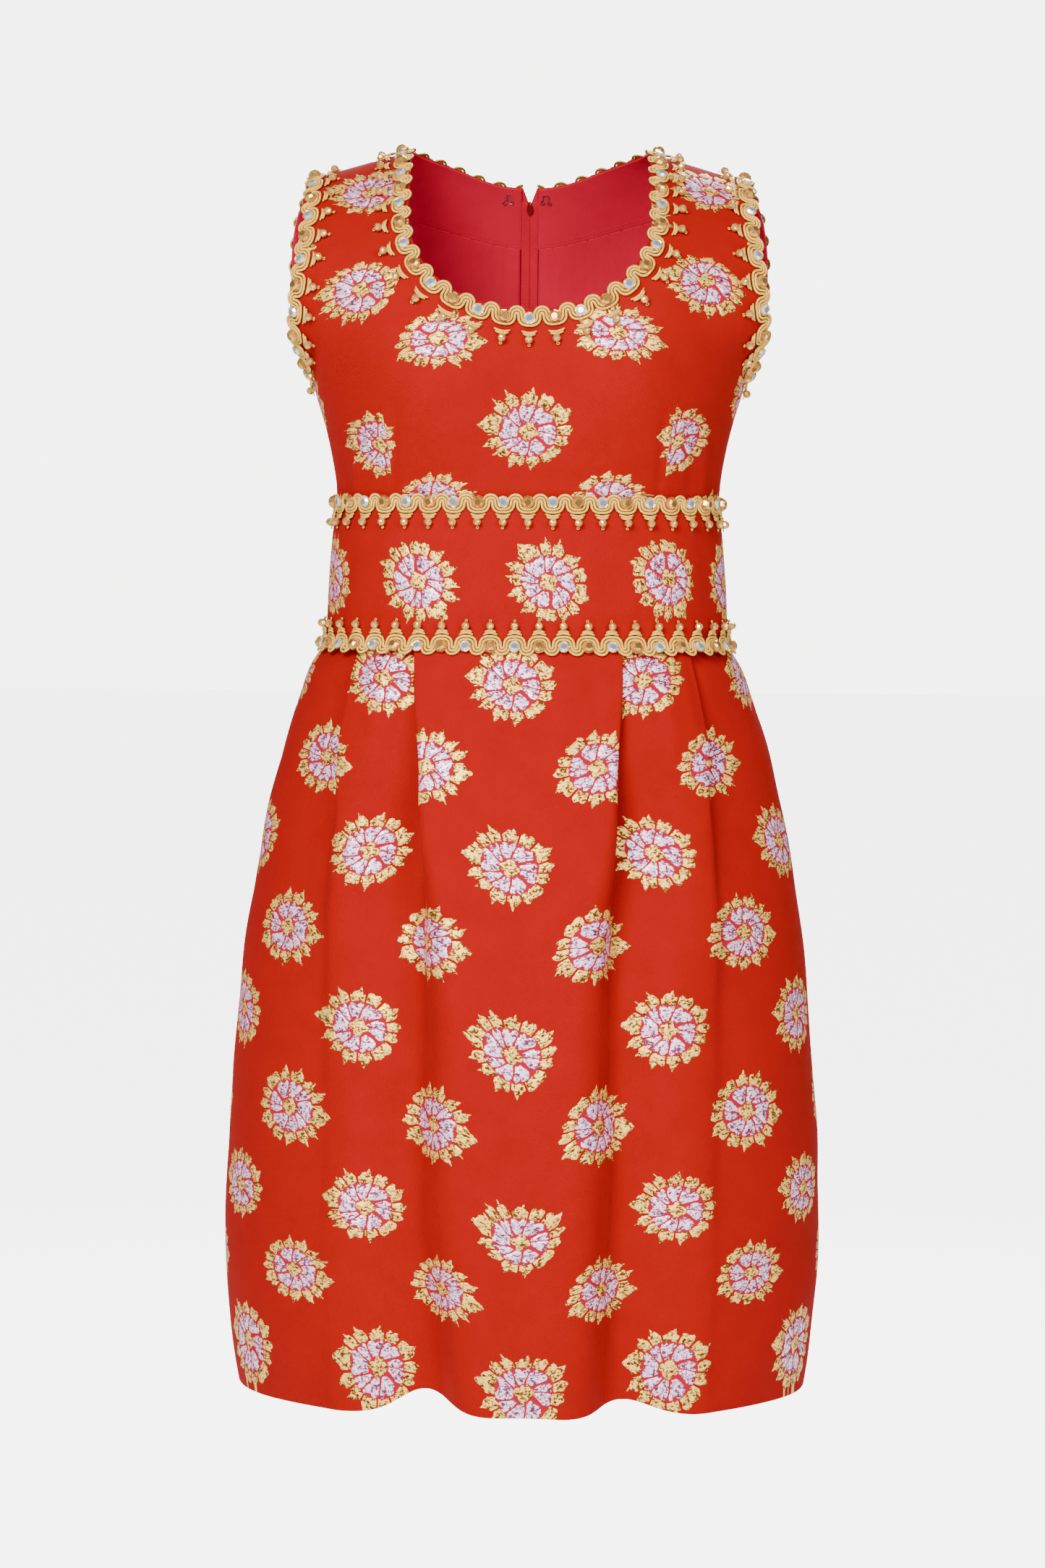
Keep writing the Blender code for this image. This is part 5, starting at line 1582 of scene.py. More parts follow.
@dataclass
class MidriffPieces:
    """The midriff band, cut on the diagonal of the pattern."""

    finishes: Finishes
    rows: int = 30
    columns: int = 150
    back_columns: int = 72
    liner_start: float = 0.0070
    diagonal: float = math.radians(45.7)
    front_pins: tuple[FlowerPin, ...] = (
        FlowerPin(0.014, -0.317, 0, 0.0),
        FlowerPin(-0.080, -0.318, -1, -0.5),
        FlowerPin(0.102, -0.314, 1, 0.5),
        FlowerPin(-0.143, -0.315, -2, -1.0),
        FlowerPin(0.145, -0.319, 2, 1.0),
    )
    creases: tuple[Crease, ...] = (
        Crease(EdgePoint(-0.120, -0.300), EdgePoint(-0.040, -0.306), 0.0006, 0.0080),
        Crease(EdgePoint(0.030, -0.343), EdgePoint(0.120, -0.338), 0.0006, 0.0070),
        Crease(EdgePoint(0.125, -0.275), EdgePoint(0.136, -0.350), -0.0008, 0.0050),
        Crease(EdgePoint(-0.127, -0.275), EdgePoint(-0.138, -0.350), -0.0008, 0.0050),
    )

    def panel(self, angles: np.ndarray, heights: np.ndarray, side: Side, middle: int) -> Panel:
        """A panel over angles and heights, its cloth map turned to the diagonal."""
        z = np.repeat(heights[:, None], angles.shape[1], axis=1)
        points = FIGURE.point(FIGURE.midriff, angles, z, side)
        along, up = walked(points, 1, middle), z - FIGURE.waist_z
        cosine, sine = math.cos(self.diagonal), math.sin(self.diagonal)
        flat = np.stack([along * cosine - up * sine, along * sine + up * cosine], -1)
        return Panel(points, FIGURE.normal(FIGURE.midriff, angles, z, side), flat)

    def build(self, centre_back: Callable[[np.ndarray], np.ndarray]) -> None:
        """The front band and two back bands."""
        gap = FIGURE.seam_gap / 2
        heights = np.linspace(FIGURE.waist_z + gap, FIGURE.empire_z - gap, self.rows)
        angles = np.repeat(np.radians(np.linspace(-90, 90, self.columns + 1))[None], self.rows, axis=0)
        front = self.panel(angles, heights, Side.FRONT, self.columns // 2)
        front.flat = pinned(front.flat, front.points, self.front_pins, 0.06)
        front = pressed(front, self.creases, soft_waves(0.0005, 0.09, 11))
        piece = ClothPiece(
            "midriff_front_cloth", front, self.finishes.brocade, self.finishes.lining
        ).build()
        dress_sheet(
            piece,
            "midriff_front",
        )
        half_width = FIGURE.sizes(FIGURE.midriff, heights)[0]
        first = np.arcsin(self.liner_start / half_width)[:, None]
        edge = np.arcsin(centre_back(heights) / half_width)[:, None]
        beyond = np.linspace(0, 1, self.back_columns)
        angles = np.concatenate(
            [edge + (first - edge) * [BESIDE_ZIP], first + (np.pi / 2 - first) * beyond], axis=1
        )
        half = pressed(
            self.panel(angles, heights, Side.BACK, 0), self.creases, soft_waves(0.0005, 0.09, 13)
        )
        half.flat = half.flat + [0.03, 0.02]
        for hand in Hand:
            name = f"midriff_back_{hand.word}"
            piece = ClothPiece(
                f"{name}_cloth",
                half.mirrored(hand),
                self.finishes.brocade,
                self.finishes.lining,
                rims={"left": Rim.FOLD},
            ).build()
            dress_sheet(
                piece,
                name,
            )


class ClothRow(NamedTuple):
    """What the skirt's cloth does at one height.

    row is the row of flowers there at the centre, lean how far left of the middle its flower lies, rise
    how much higher that row lies beside the centre, and main and outer the cloth in each pleat.
    """

    z: float
    row: float
    lean: float
    rise: float
    main: float
    outer: float


class Rise(NamedTuple):
    """A rise of the hem over a valley: where, how far and how wide."""

    x: float
    height: float
    width: float


@dataclass
class SkirtPieces:
    """The pleated barrel skirt: a front and two backs, with a turned-up hem."""

    finishes: Finishes
    liner_start: float = 0.0070
    step_kept: float = 0.45
    rows: int = 112
    hem_rows: int = 9
    counts: tuple[tuple[str, int], ...] = (
        ("centre", 22), ("main", 42), ("panel", 26), ("outer", 30), ("side", 20)
    )
    main: tuple[Fold, ...] = (
        Fold(-0.930, 0.0190, 0.0275, 55, 0.0320, 0.0160, 0.0200),
        Fold(-0.750, 0.0405, 0.0327, 50, 0.0300, 0.0175, 0.0180),
        Fold(-0.620, 0.0454, 0.0356, 60, 0.0260, 0.0140, 0.0160),
        Fold(-0.550, 0.0567, 0.0449, 75, 0.0180, 0.0120, 0.0120),
        Fold(-0.500, 0.0690, 0.0580, 105, 0.0095, 0.0110, 0.0080),
        Fold(-0.450, 0.0740, 0.0630, 155, 0.0042, 0.0130, 0.0030),
        Fold(-0.400, 0.0800, 0.0680, 174, 0.0024, 0.0130, 0.0012),
        Fold(-0.364, 0.0820, 0.0690, 180, 0.0016, 0.0130, 0.0005),
    )
    outer: tuple[Fold, ...] = (
        Fold(-0.930, 0.1500, 0.1460, 6, 0.0300, 0.0040, 0.0300),
        Fold(-0.750, 0.1520, 0.1480, 8, 0.0300, 0.0040, 0.0300),
        Fold(-0.600, 0.1540, 0.1500, 20, 0.0240, 0.0040, 0.0240),
        Fold(-0.500, 0.1520, 0.1480, 45, 0.0110, 0.0040, 0.0110),
        Fold(-0.440, 0.1480, 0.1430, 95, 0.0042, 0.0050, 0.0035),
        Fold(-0.400, 0.1390, 0.1340, 160, 0.0024, 0.0080, 0.0012),
        Fold(-0.364, 0.1300, 0.1250, 180, 0.0016, 0.0090, 0.0005),
    )
    rises: tuple[Rise, ...] = (
        Rise(-0.075, 0.018, 0.030), Rise(0.082, 0.011, 0.030), Rise(0.0, 0.005, 0.050)
    )
    cloth_rows: tuple[ClothRow, ...] = (
        ClothRow(-0.925, 4.20, -0.003, 0.008, 0.062, 0.008),
        ClothRow(-0.893, 4.00, -0.002, 0.010, 0.062, 0.008),
        ClothRow(-0.785, 3.00, 0.001, 0.018, 0.053, 0.009),
        ClothRow(-0.654, 2.00, 0.008, 0.016, 0.050, 0.011),
        ClothRow(-0.522, 1.00, 0.011, 0.010, 0.033, 0.010),
        ClothRow(-0.392, 0.00, 0.010, 0.004, 0.015, 0.004),
        ClothRow(-0.360, -0.25, 0.010, 0.003, 0.013, 0.004),
    )
    lobe_half: float = 0.055
    edge_start: float = 0.110
    edge_rise: float = 0.005
    creases: tuple[Crease, ...] = (
        Crease(EdgePoint(-0.020, -0.372), EdgePoint(-0.030, -0.470), 0.0012, 0.0090),
        Crease(EdgePoint(0.030, -0.372), EdgePoint(0.024, -0.460), 0.0011, 0.0090),
        Crease(EdgePoint(-0.106, -0.372), EdgePoint(-0.112, -0.450), 0.0014, 0.0070),
        Crease(EdgePoint(0.100, -0.372), EdgePoint(0.108, -0.455), 0.0014, 0.0070),
        Crease(EdgePoint(0.118, -0.372), EdgePoint(0.131, -0.430), -0.0014, 0.0040),
        Crease(EdgePoint(-0.060, -0.376), EdgePoint(-0.066, -0.430), -0.0009, 0.0050),
        Crease(EdgePoint(0.050, -0.376), EdgePoint(0.052, -0.430), -0.0009, 0.0050),
        Crease(EdgePoint(-0.090, -0.560), EdgePoint(-0.098, -0.700), 0.0036, 0.0180),
        Crease(EdgePoint(0.098, -0.560), EdgePoint(0.104, -0.720), 0.0034, 0.0180),
        Crease(EdgePoint(-0.138, -0.560), EdgePoint(-0.146, -0.780), -0.0036, 0.0200),
        Crease(EdgePoint(0.140, -0.560), EdgePoint(0.150, -0.800), -0.0034, 0.0200),
        Crease(EdgePoint(0.004, -0.520), EdgePoint(0.000, -0.760), -0.0024, 0.0220),
    )

    def section(self, z: float, side: Side) -> tuple[np.ndarray, np.ndarray, np.ndarray]:
        """The plain section at one height: angles, points and the length walked to each."""
        angles = np.linspace(0, np.pi / 2, 192)
        points = FIGURE.point(FIGURE.skirt, angles, np.full(len(angles), z), side)
        run = np.concatenate([[0], np.cumsum(np.linalg.norm(np.diff(points[:, :2], axis=0), axis=1))])
        return angles, points, run

    @staticmethod
    def fold_at(table: tuple[Fold, ...], z: float, hand: Hand) -> tuple[float, ...]:
        """A pleat's start, turn, edge radius, middle layer and valley radius at one height."""
        heights = column(table, "z")
        names = (hand.word, "turn", "edge_radius", "middle", "valley_radius")
        start, turn, edge, flat, valley = [
            float(curve_through(heights, column(table, n), z)) for n in names
        ]
        return start, math.radians(turn), max(edge, 0.0015), max(flat, 0.0), max(valley, 0.0004)

    @staticmethod
    def through_fold(fold: tuple[float, ...], t: np.ndarray) -> tuple[np.ndarray, np.ndarray]:
        """The way sideways and inwards at t of 0 to 3: round the edge, back under it, and out again."""
        _, turn, edge, flat, valley = fold
        first = turn * np.clip(t, 0, 1)
        sideways = edge * np.sin(first)
        inwards = edge * (1 - np.cos(first))
        under = flat * np.clip(t - 1, 0, 1)
        sideways = sideways + under * math.cos(turn)
        inwards = inwards + under * math.sin(turn)
        left = turn * (1 - np.clip(t - 2, 0, 1))
        sideways = sideways + valley * (math.sin(turn) - np.sin(left))
        inwards = inwards + valley * (np.cos(left) - math.cos(turn))
        return sideways, inwards

    def stations(self, side: Side) -> list[tuple[str, np.ndarray]]:
        """Every stretch of half a section and its places from 0 to 1."""
        first = [
            ("zip", np.array([*BESIDE_ZIP, 1.0]))
        ] if side is Side.BACK else [("centre", np.array([0.0]))]
        return first + [(name, np.arange(1, count + 1) / count) for name, count in self.counts]

    def places_at(self, z: float, side: Side, hand: Hand, edge: float) -> tuple[np.ndarray, np.ndarray]:
        """Where every station lies at one height: along the section, and in from it."""
        main, outer = self.fold_at(self.main, z, hand), self.fold_at(self.outer, z, hand)
        main_end, outer_end = [self.through_fold(fold, np.array(3.0)) for fold in (main, outer)]
        full = self.section(z, side)[2][-1]
        after_main, after_outer = main[0] + main_end[0], outer[0] + outer_end[0]
        kept = main_end[1] * self.step_kept
        begin = 0.0 if side is Side.FRONT else self.liner_start
        along, inwards = [], []
        for stretch, t in self.stations(side):
            if stretch == "zip":
                pair = edge + (begin - edge) * t, 0 * t
            elif stretch == "centre":
                pair = begin + (main[0] - begin) * t, 0 * t
            elif stretch == "main":
                sideways, deep = self.through_fold(main, 3 * t)
                pair = main[0] + sideways, deep
            elif stretch == "panel":
                pair = after_main + (
                    outer[0] - after_main
                ) * t, main_end[1] + (kept - main_end[1]) * ease(t)
            elif stretch == "outer":
                sideways, deep = self.through_fold(outer, 3 * t)
                pair = outer[0] + sideways, kept + deep
            else:
                pair = after_outer + (full - after_outer) * t, (kept + outer_end[1]) * (1 - ease(t))
            along.append(pair[0])
            inwards.append(pair[1])
        return np.concatenate(along), np.concatenate(inwards)

    def hem_at(self, x: np.ndarray) -> np.ndarray:
        """The hem's height, over the way along from the centre."""
        return FIGURE.hem_z + sum(
            rise.height * np.exp(-(((x - rise.x) / rise.width) ** 2)) for rise in self.rises
        )

    def half(self, side: Side, hand: Hand, edge: float) -> np.ndarray:
        """Half of the skirt's front or back, from the hem up and from the centre out."""
        levels = np.linspace(FIGURE.hem_z - 0.004, FIGURE.waist_z, 150)
        slices = np.array([self.slice_at(z, side, hand, edge) for z in levels])
        hem = self.hem_at(hand.value * self.places_at(FIGURE.hem_z, side, hand, edge)[0])
        up = stops((0, 1, self.rows), extra=(0.002, 0.005, 0.994, 0.998))
        top = FIGURE.waist_z - FIGURE.seam_gap / 2
        grid = np.empty((len(up), slices.shape[1], 3))
        for j in range(slices.shape[1]):
            heights = hem[j] + (top - hem[j]) * up
            grid[:, j, 0] = np.interp(heights, levels, slices[:, j, 0])
            grid[:, j, 1] = np.interp(heights, levels, slices[:, j, 1])
            grid[:, j, 2] = heights
        return grid * [hand.value, 1, 1]

    def slice_at(self, z: float, side: Side, hand: Hand, edge: float) -> np.ndarray:
        """The outside's (x, y) at one height, for the right half."""
        along, inwards = self.places_at(z, side, hand, edge)
        angles, _, run = self.section(z, side)
        angle = np.interp(along, run, angles)
        level = np.full(len(angle), z)
        base = FIGURE.point(FIGURE.skirt, angle, level, side)
        step = 1e-3
        low, high = [np.clip(angle + k, -np.pi / 2, np.pi / 2) for k in (-step, step)]
        tangent = FIGURE.point(
            FIGURE.skirt, high, level, side
        ) - FIGURE.point(FIGURE.skirt, low, level, side)
        normal = unit(np.stack([-tangent[:, 1], tangent[:, 0], 0 * angle], -1))
        normal = normal * np.where((normal * base * [1, 1, 0]).sum(-1, keepdims=True) < 0, -1, 1)
        return (base - normal * inwards[:, None])[:, :2]

    def across(self, points: np.ndarray, side: Side) -> np.ndarray:
        """How far across the cloth each point of a half lies, with each pleat taking up its own share."""
        steps = np.linalg.norm(np.diff(points, axis=1), axis=-1)
        names = np.concatenate([[name] * len(t) for name, t in self.stations(side)])[1:]
        heights = column(self.cloth_rows, "z")
        for pleat in ("main", "outer"):
            own = np.flatnonzero(names == pleat)
            taken = curve_through(heights, column(self.cloth_rows, pleat), points[:, own[0], 2])
            steps[:, own] *= (taken / steps[:, own].sum(1))[:, None]
        return np.concatenate([np.zeros((len(points), 1)), np.cumsum(steps, axis=1)], axis=1)

    def down(self, points: np.ndarray) -> np.ndarray:
        """How far up the cloth each point lies from the first row of flowers; rows rise beside the centre."""
        heights = column(self.cloth_rows, "z")
        out, z = np.abs(points[..., 0]), points[..., 2]
        lift = curve_through(
            heights, column(self.cloth_rows, "rise"), z
        ) * ease(np.clip(out / self.lobe_half, 0, 1))
        lift = lift + self.edge_rise * ease(np.clip((out - self.edge_start) / self.lobe_half, 0, 1))
        lowest = heights[0]
        return -LATTICE.high * curve_through(
            heights, column(self.cloth_rows, "row"), np.maximum(z - lift, lowest)
        )

    def panel(self, points: np.ndarray, run: np.ndarray, seed: int) -> Panel:
        """The panel with its normals, creases and cloth map."""
        across, along = np.gradient(points, axis=1), np.gradient(points, axis=0)
        normals = unit(np.cross(across, along))
        mid = points[points.shape[0] // 2, points.shape[1] // 2]
        sample = normals[points.shape[0] // 2, points.shape[1] // 2]
        if sample @ (mid * [1, 1, 0]) < 0:
            normals = -normals
        lean = curve_through(column(self.cloth_rows, "z"), column(self.cloth_rows, "lean"), points[..., 2])
        flat = np.stack([run + lean, self.down(points)], -1)
        return pressed(Panel(points, normals, flat), self.creases, soft_waves(0.0010, 0.16, seed))

    def build(self, edge: float) -> None:
        """The front and both backs."""
        right, left = [self.half(Side.FRONT, hand, edge) for hand in (Hand.RIGHT, Hand.LEFT)]
        whole = np.concatenate([left[:, :0:-1], right], axis=1)
        run = np.concatenate(
            [-self.across(left, Side.FRONT)[:, :0:-1], self.across(right, Side.FRONT)], axis=1
        )
        front = self.panel(whole, run, 21)
        self.make(
            "skirt_front",
            front,
            {"bottom": Rim.FOLD},
        )
        for hand in Hand:
            points = self.half(Side.BACK, hand, edge)
            back = self.panel(points, hand.value * self.across(points, Side.BACK), 23)
            self.make(
                f"skirt_back_{hand.word}",
                back,
                {"bottom": Rim.FOLD, "left": Rim.FOLD},
            )

    def make(
        self, name: str, panel: Panel, rims: dict[str, Rim]
    ) -> None:
        """One skirt piece in the scene."""
        piece = ClothPiece(
            f"{name}_cloth",
            panel,
            self.finishes.brocade,
            self.finishes.lining,
            rims=rims,
            turned_rows=self.hem_rows,
        ).build()
        dress_sheet(piece, name)


# Braid


class Jewel(NamedTuple):
    """A small part modelled once: points, triangles, each face's tone of painted reflection and its material's
    place in the braid.
    """

    points: np.ndarray
    faces: np.ndarray
    tone: np.ndarray
    finish: int


@dataclass
class JewelBench:
    """Models the braid's stones, domes and beads from primitives, one of each."""

    stone_radius: float = 0.0044
    dome_radius: float = 0.0050
    bead_radius: float = 0.0031

    @staticmethod
    def start() -> None:
        """Nothing selected, so that a new primitive is worked on alone."""
        bpy.ops.object.select_all(action="DESELECT")

    @staticmethod
    def taken(finish: int, table_painted_tone: float, seed: int) -> Jewel:
        """Reads the active object as triangles with facet tones of painted reflection, and removes it."""
        shaped = bpy.context.object
        made = bmesh.new()
        made.from_mesh(shaped.data)
        bmesh.ops.triangulate(made, faces=made.faces)
        made.verts.ensure_lookup_table()
        points = np.array([v.co for v in made.verts])
        faces = np.array([[v.index for v in f.verts] for f in made.faces])
        normals = np.array([f.normal for f in made.faces])
        made.free()
        bpy.data.objects.remove(shaped, do_unlink=True)
        chance = np.random.default_rng(seed)
        # Painted reflection: each facet is toned lighter or darker by the way it faces, and flat tops facing up
        # get their own painted tone.
        keys = np.round(normals, 2)
        tone = np.array([abs(math.sin(12.9 * k[0] + 78.2 * k[1] + 37.7 * k[2])) for k in keys]) * 0.55
        tone = np.clip(tone + chance.uniform(-0.05, 0.05, len(tone)), 0, 1)
        tone[normals[:, 2] > 0.97] = table_painted_tone
        return Jewel(points, faces, tone, finish)

    def stone(self) -> list[Jewel]:
        """A clear stone with a table and crown facets in a metal cup."""
        radius = self.stone_radius
        self.start()
        bpy.ops.mesh.primitive_cylinder_add(
            vertices=10, radius=radius, depth=0.0014, location=(0, 0, 0.0007)
        )
        bpy.ops.object.mode_set(mode="EDIT")
        bpy.ops.mesh.select_all(action="DESELECT")
        bpy.ops.object.mode_set(mode="OBJECT")
        for face in bpy.context.object.data.polygons:
            face.select = face.normal.z > 0.9
        bpy.ops.object.mode_set(mode="EDIT")
        bpy.ops.mesh.inset(thickness=0.0006)
        bpy.ops.transform.translate(value=(0, 0, -0.0004))
        bpy.ops.object.mode_set(mode="OBJECT")
        bpy.ops.object.transform_apply(location=True, rotation=False, scale=False)
        cup = self.taken(1, 0.2, 1)
        self.start()
        bpy.ops.mesh.primitive_cone_add(
            vertices=8, radius1=radius * 0.90, radius2=radius * 0.50, depth=0.0016, location=(0, 0, 0.0018)
        )
        bpy.ops.object.transform_apply(location=True, rotation=False, scale=False)
        return [cup, self.taken(3, 0.80, 2)]

    def dome(self) -> list[Jewel]:
        """A gold dome with two rings of facets and a six-sided table painted dark as painted reflection."""
        self.start()
        bpy.ops.mesh.primitive_uv_sphere_add(segments=8, ring_count=7, radius=self.dome_radius)
        bpy.ops.object.mode_set(mode="EDIT")
        bpy.ops.mesh.select_all(action="SELECT")
        level = self.dome_radius * 0.88
        bpy.ops.mesh.bisect(plane_co=(0, 0, level), plane_no=(0, 0, 1), clear_outer=True, use_fill=True)
        bpy.ops.mesh.select_all(action="SELECT")
        bpy.ops.mesh.bisect(plane_co=(0, 0, -0.0004), plane_no=(0, 0, -1), clear_outer=True, use_fill=True)
        bpy.ops.object.mode_set(mode="OBJECT")
        return [self.taken(2, 0.9, 3)]

    def bead(self) -> list[Jewel]:
        """A small gold bead, cut in facets."""
        self.start()
        bpy.ops.mesh.primitive_uv_sphere_add(segments=8, ring_count=5, radius=self.bead_radius)
        return [self.taken(1, 0.1, 4)]


@dataclass
class Ground:
    """The cloth under a braid: feet and ways out at distances along the edge and away from it."""

    along: np.ndarray
    away: np.ndarray
    points: np.ndarray
    normals: np.ndarray

    @property
    def length(self) -> float:
        """The braid's length along its edge."""
        return float(self.along[-1])

    def at(self, s: np.ndarray, d: np.ndarray, h: np.ndarray) -> tuple[np.ndarray, np.ndarray]:
        """Points at s along, d away and h above the cloth, and the ways out there."""
        i = np.clip(np.searchsorted(self.along, s) - 1, 0, len(self.along) - 2)
        j = np.clip(np.searchsorted(self.away, d) - 1, 0, len(self.away) - 2)
        u = ((s - self.along[i]) / (self.along[i + 1] - self.along[i]))[..., None]
        v = ((d - self.away[j]) / (self.away[j + 1] - self.away[j]))[..., None]

        def read(grid: np.ndarray) -> np.ndarray:
            """The grid's value at those places, between its nearest four."""
            low = grid[i, j] * (1 - v) + grid[i, j + 1] * v
            high = grid[i + 1, j] * (1 - v) + grid[i + 1, j + 1] * v
            return low * (1 - u) + high * u

        ups = unit(read(self.normals))
        return read(self.points) + ups * np.asarray(h)[..., None], ups


@dataclass
class Braid:
    """Gimp braid: three cords in a serpentine, stones in its arches' laps, and beaded drops."""

    name: str
    node: str
    ground: Ground
    finishes: Finishes
    jewels: JewelBench
    first_stone: int = 0
    pitch: float = 0.018
    middle: float = 0.0066
    lap_bias: float = 0.0012
    lap_square: float = 0.72
    cord: float = 0.00104
    spacing: float = 0.00220
    steps: int = 18
    sides: int = 6
    lift: float = 0.0003
    overhang: float = 0.0

    def units(self) -> int:
        """How many repeats fit the length."""
        return round(self.ground.length / self.pitch)

    def serpentine(self, offset: float) -> tuple[np.ndarray, np.ndarray]:
        """The run of one cord in (along, away), made of half circles."""
        count = self.units()
        pitch = self.ground.length / count
        quarter = pitch / 4
        half_turns = []
        for k in range(2 * count + 1):
            centre = k * pitch / 2
            arch = k % 2 == 0
            radius = quarter - self.lap_bias + offset if arch else quarter + self.lap_bias - offset
            turn = np.linspace(np.pi, 0, self.steps // 2, endpoint=False) if 0 < k else np.linspace(
                np.pi / 2, 0, self.steps // 4, endpoint=False
            )
            if k == 2 * count:
                turn = np.linspace(np.pi, np.pi / 2, self.steps // 4 + 1)
            across, down = np.cos(turn), np.sin(turn).clip(0)
            if not arch:
                across, down = np.sign(across) * np.abs(across) ** self.lap_square, down**self.lap_square
            depth = self.middle - radius * down if arch else self.middle + radius * down
            half_turns.append(np.stack([centre + radius * across, depth], -1))
        line = np.concatenate(half_turns)
        return line[:, 0].clip(0, self.ground.length), line[:, 1] - self.overhang

    def cords(self) -> list[tuple]:
        """The three cords as tubes."""
        made = []
        for k in (-1, 0, 1):
            s, d = self.serpentine(k * self.spacing)
            height = np.full(len(s), self.cord * 0.9 + self.lift + (0.0002 if k == 0 else 0.0))
            points, ups = self.ground.at(s, d, height)
            made.append(tube(points, ups, np.full(len(s), self.cord), self.sides, 0.9))
        return made

    def drop_cords(self, s0: float) -> list[tuple]:
        """Two short arcs stacked under a lap, and the thread loop at the drop's tip."""
        made = []
        for half, top, dip, radius in (
            (0.0052, 0.0156, 0.0014, 0.00105), (0.0042, 0.0175, 0.0011, 0.00100)
        ):
            t = np.linspace(-1, 1, 7)
            s, d = s0 + half * t, top + dip * (1 - t**2)
            h = np.full(7, radius + self.lift) + 0.0006 * (1 - t**2)
            points, ups = self.ground.at(np.clip(s, 0, self.ground.length), d, h)
            taper = radius * (1 - 0.35 * np.abs(t) ** 3)
            made.append(tube(points, ups, taper, 5))
        t = np.linspace(0, np.pi * 2, 7)
        s, d = s0 + 0.0009 * np.sin(t), 0.0256 - 0.0008 * np.cos(t)
        points, ups = self.ground.at(np.clip(s, 0, self.ground.length), d, np.full(7, 0.0016))
        made.append(tube(points, ups, np.full(7, 0.00042), 4))
        return made

    def placed(self, jewels: list[Jewel], s: float, d: float, h: float, turn: float) -> list[Jewel]:
        """Jewels set on the cloth at one place, turned about the way out."""
        s, d, h = [np.array([value]) for value in (s, d, h)]
        place, up = [grid[0] for grid in self.ground.at(s, d, h)]
        ahead = self.ground.at(
            np.clip(s + 0.001, 0, self.ground.length), d, h
        )[0][0] - self.ground.at(np.clip(s - 0.001, 0, self.ground.length), d, h)[0][0]
        side = unit(np.cross(up, ahead))
        ahead = np.cross(side, up)
        cosine, sine = math.cos(turn), math.sin(turn)
        across, over = ahead * cosine + side * sine, side * cosine - ahead * sine
        frame_axes = np.stack([across, over, up])
        return [
            Jewel(place + item.points @ frame_axes, item.faces, item.tone, item.finish) for item in jewels
        ]

    def build(self) -> bpy.types.Object:
        """The whole braid as one joined mesh."""
        stone, dome, bead = self.jewels.stone(), self.jewels.dome(), self.jewels.bead()
        chance = np.random.default_rng(len(self.name))
        cords = self.cords()
        jewels = []
        count = self.units()
        pitch = self.ground.length / count
        for k in range(count):
            middle = (k + 0.5) * pitch
            cords += self.drop_cords(middle)
            gold = (k + self.first_stone) % 2
            high = 2 * self.cord * 0.9 + self.lift
            jewels += self.placed(dome if gold else stone, middle, 0.0062, high, chance.uniform(0, 6.3))
            jewels += self.placed(
                bead,
                middle + chance.normal(0, 0.0003),
                0.0218,
                self.jewels.bead_radius + self.lift,
                chance.uniform(0, 6.3),
            )
        vertices, faces, flat = stacked(cords)
        smooth = [np.ones(len(faces), bool)]
        finish, tone = [np.zeros(len(faces), int)], [np.zeros(len(faces))]
        points, triangles = [vertices], [faces]
        base = len(vertices)
        for item in jewels:
            points.append(item.points)
            triangles.append(item.faces + base)
            base += len(item.points)
            smooth.append(np.zeros(len(item.faces), bool))
            finish.append(np.full(len(item.faces), item.finish))
            tone.append(item.tone)
        vertices = np.concatenate(points)
        flat = np.concatenate([flat, np.zeros((len(vertices) - len(flat), 2))])
        looks = (self.finishes.gimp, self.finishes.gilded, self.finishes.dome, self.finishes.stone)
        piece = mesh_object(
            self.name, vertices, np.concatenate(triangles), flat, np.concatenate(finish), looks
        )
        piece.data.polygons.foreach_set("use_smooth", np.concatenate(smooth))
        layer = piece.data.attributes.new("facet", "FLOAT", "FACE")
        layer.data.foreach_set("value", np.concatenate(tone).astype(np.float32))
        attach(piece, "dress")
        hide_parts(self.node)
        log.info("%s: %d units, %d triangles", self.name, count, len(piece.data.polygons))
        return piece


